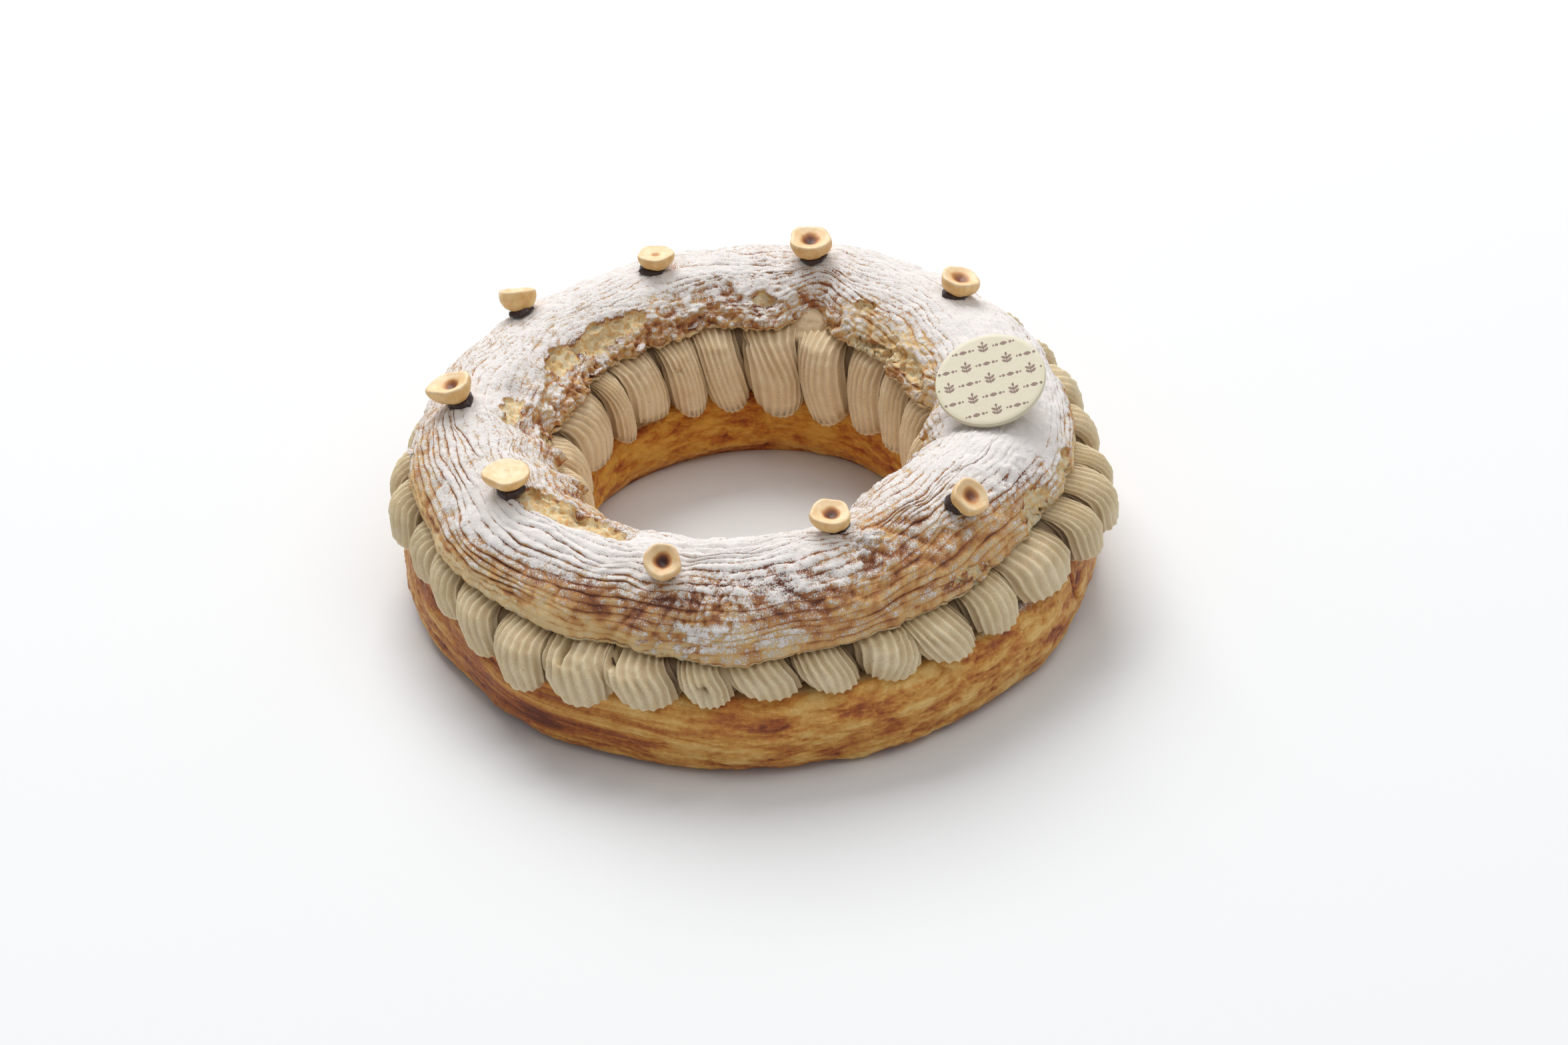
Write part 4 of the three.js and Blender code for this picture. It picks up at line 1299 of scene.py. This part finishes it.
def scatter_piece(name, places, sizes, flatness, seed, material, slot):
    """Many small uneven lumps as one mesh."""
    random = np.random.default_rng(seed)
    corners, faces = lump_shape()
    count = len(places)
    uneven = 1 + 0.3 * random.uniform(-1, 1, (count, len(corners), 1))
    shapes = corners * uneven * sizes[:, None, None]
    shapes[..., 2] *= flatness
    spins = random.uniform(0, 2 * math.pi, count)
    tilts = random.uniform(-0.6, 0.6, count)
    x, y, z = shapes[..., 0], shapes[..., 1], shapes[..., 2]
    cos, sin = np.cos(spins)[:, None], np.sin(spins)[:, None]
    x, y = x * cos - y * sin, x * sin + y * cos
    cos, sin = np.cos(tilts)[:, None], np.sin(tilts)[:, None]
    x, z = x * cos - z * sin, x * sin + z * cos
    points = np.stack([x, y, z], axis=-1) + places[:, None, :]
    steps = np.arange(count)[:, None, None] * len(corners)
    add_piece(name, points, [(faces + steps).reshape(-1, 3)], material, slot)


def crumbs_piece(lid, material):
    """Crumbs along the lid's torn edges."""
    random = np.random.default_rng(3)
    places, normals = lid.grid.reshape(-1, 3), lid.out.reshape(-1, 3)
    edge = (np.abs(lid.way - 0.985) < 0.012).ravel() * 1.0 + 0.25 * (lid.way < 0.01).ravel()
    chosen = random.choice(len(places), CRUMBS.count, replace=False, p=edge / edge.sum())
    sizes = 0.3 + 0.9 * random.random(len(chosen)) ** 3
    places = places[chosen] + normals[chosen] * 0.1 * sizes[:, None]
    scatter_piece("crust_crumbs", places, sizes, CRUMBS.flatness, 6, material, "choux_lid")


def flake_shape(flake, number):
    """A thin curled shred, round its own middle."""
    up = np.radians(np.linspace(88, -88, FLAKE_GRID.rows))
    ball = ring_points(np.cos(up) / 2, ring_angles(FLAKE_GRID.sides), np.sin(up) / 2)
    shape = ball * [flake.length, flake.width, flake.thickness]
    shape = shape + ball * 1.3 * rough(shape + 20 * number, 2.4, 161)[..., None]
    shape[..., 2] += 0.08 * shape[..., 0] ** 2
    shape = shape @ leaning(flake.lean, 0).T
    heading = math.radians(flake.angle + flake.heading)
    cos, sin = math.cos(heading), math.sin(heading)
    shape[..., :2] = shape[..., :2] @ [[cos, sin], [-sin, cos]]
    return shape


def flakes_piece(lid, material):
    """Loose shreds of crust that stick out at the lid's edges."""
    points, faces, count = [], [], 0
    for number, flake in enumerate(FLAKES):
        shape = flake_shape(flake, number)
        column = round(flake.angle % 360 / 360 * LID_COLUMNS) % LID_COLUMNS
        row = np.argmin(np.abs(lid.way[column] - flake.way))
        place = lid.grid[column, row] + [0, 0, 0.8]
        ends = shape[:, [0, -1]].mean(axis=0)
        points += [(shape + place).reshape(-1, 3), ends + place]
        faces += [face + count for face in capped_faces(FLAKE_GRID.sides, FLAKE_GRID.rows)]
        count += FLAKE_GRID.sides * FLAKE_GRID.rows + 2
    points = np.concatenate(points)
    looks = {
        "bake": 0.4 + 0.3 * rough(points, 2.4, 171, octaves=3),
        "sugar": 0.4 + 0.4 * rough(points, 2.4, 174, octaves=3),
        "flow": points * MM,
    }
    add_piece("rim_flakes", points, faces, material, "choux_lid", **looks)


# ---- Scene ----


def add_camera():
    elevation = math.radians(CAMERA.elevation)
    away = Vector((0, -math.cos(elevation), math.sin(elevation)))
    right = Vector((1, 0, 0))
    up = away.cross(right)
    forward = (CAMERA.aim_right * right + CAMERA.aim_up * up - away).normalized()
    right = forward.cross(Vector((0, 0, 1))).normalized()
    up = right.cross(forward)
    roll = math.radians(CAMERA.roll)
    side = math.cos(roll) * right + math.sin(roll) * up
    top = -math.sin(roll) * right + math.cos(roll) * up
    data = bpy.data.cameras.new("view")
    data.lens = CAMERA.lens
    data.sensor_width = CAMERA.sensor
    camera = add_object("view", data)
    turned = Matrix((side, top, -forward)).transposed().to_4x4()
    camera.matrix_world = Matrix.Translation(away * CAMERA.distance * MM) @ turned
    bpy.context.scene.camera = camera


def add_floor():
    half = FLOOR.size / 2 * MM
    mesh = bpy.data.meshes.new("floor")
    corners = [(-half, -half, 0), (half, -half, 0), (half, half, 0), (-half, half, 0)]
    mesh.from_pydata(corners, [], [(0, 1, 2, 3)])
    shader = Shader("floor_matt", Roughness=0.8)
    shader.finish("Base Color", colour(*FLOOR.colour))
    mesh.materials.append(shader.material)
    floor = add_object("floor", mesh)


def add_softbox(name, place, size, power):
    """A square light at a place in metres that faces the pastry."""
    data = bpy.data.lights.new(name, "AREA")
    data.size = size
    data.energy = power
    light = add_object(name, data)
    light.location = place
    light.rotation_euler = (-Vector(place)).to_track_quat("-Z", "Y").to_euler()


def add_lights():
    world = bpy.data.worlds.new("soft_room")
    world.use_nodes = True
    world.node_tree.nodes["Background"].inputs["Color"].default_value = (1, 1, 1, 1)
    world.node_tree.nodes["Background"].inputs["Strength"].default_value = ROOM_LIGHT
    bpy.context.scene.world = world
    for softbox in SOFTBOXES:
        add_softbox(*softbox)
    bpy.context.scene.view_settings.view_transform = "Standard"


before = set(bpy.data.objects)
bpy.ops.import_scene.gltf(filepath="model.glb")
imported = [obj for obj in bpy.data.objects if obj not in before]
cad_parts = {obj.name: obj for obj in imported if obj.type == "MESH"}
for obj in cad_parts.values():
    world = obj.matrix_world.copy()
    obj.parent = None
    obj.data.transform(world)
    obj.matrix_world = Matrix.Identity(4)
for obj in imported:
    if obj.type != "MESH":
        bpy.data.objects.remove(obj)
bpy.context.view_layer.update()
add_camera()
add_floor()
add_lights()

base_piece()
lid_crust = lid_material()
lid_surface = lid_piece(lid_crust)
outer_cream = cream_material("praline_cream_outer", *OUTER_CREAM, sugared=0.2)
inner_cream = cream_material("praline_cream_inner", *INNER_CREAM, sugared=1)
cream_piece("cream_outer_shells", OUTER_SHELLS, outer_cream)
cream_piece("cream_inner_shells", INNER_SHELLS, inner_cream)
swirl_piece(inner_cream)
nut_flesh = nut_material()
for number, nut in enumerate(NUTS):
    nut_piece(nut, number, nut_flesh)
chocolate = chocolate_material()
for number in range(len(NUTS) + 1):
    dab_piece(f"chocolate_dab_{number + 1}", chocolate)
disc_piece(disc_material())
print_piece(plain_material("cocoa_print", (150, 124, 112), 0.6))
crumbs_piece(lid_surface, plain_material("loose_crust", (226, 174, 112), 0.7))
flakes_piece(lid_surface, lid_crust)
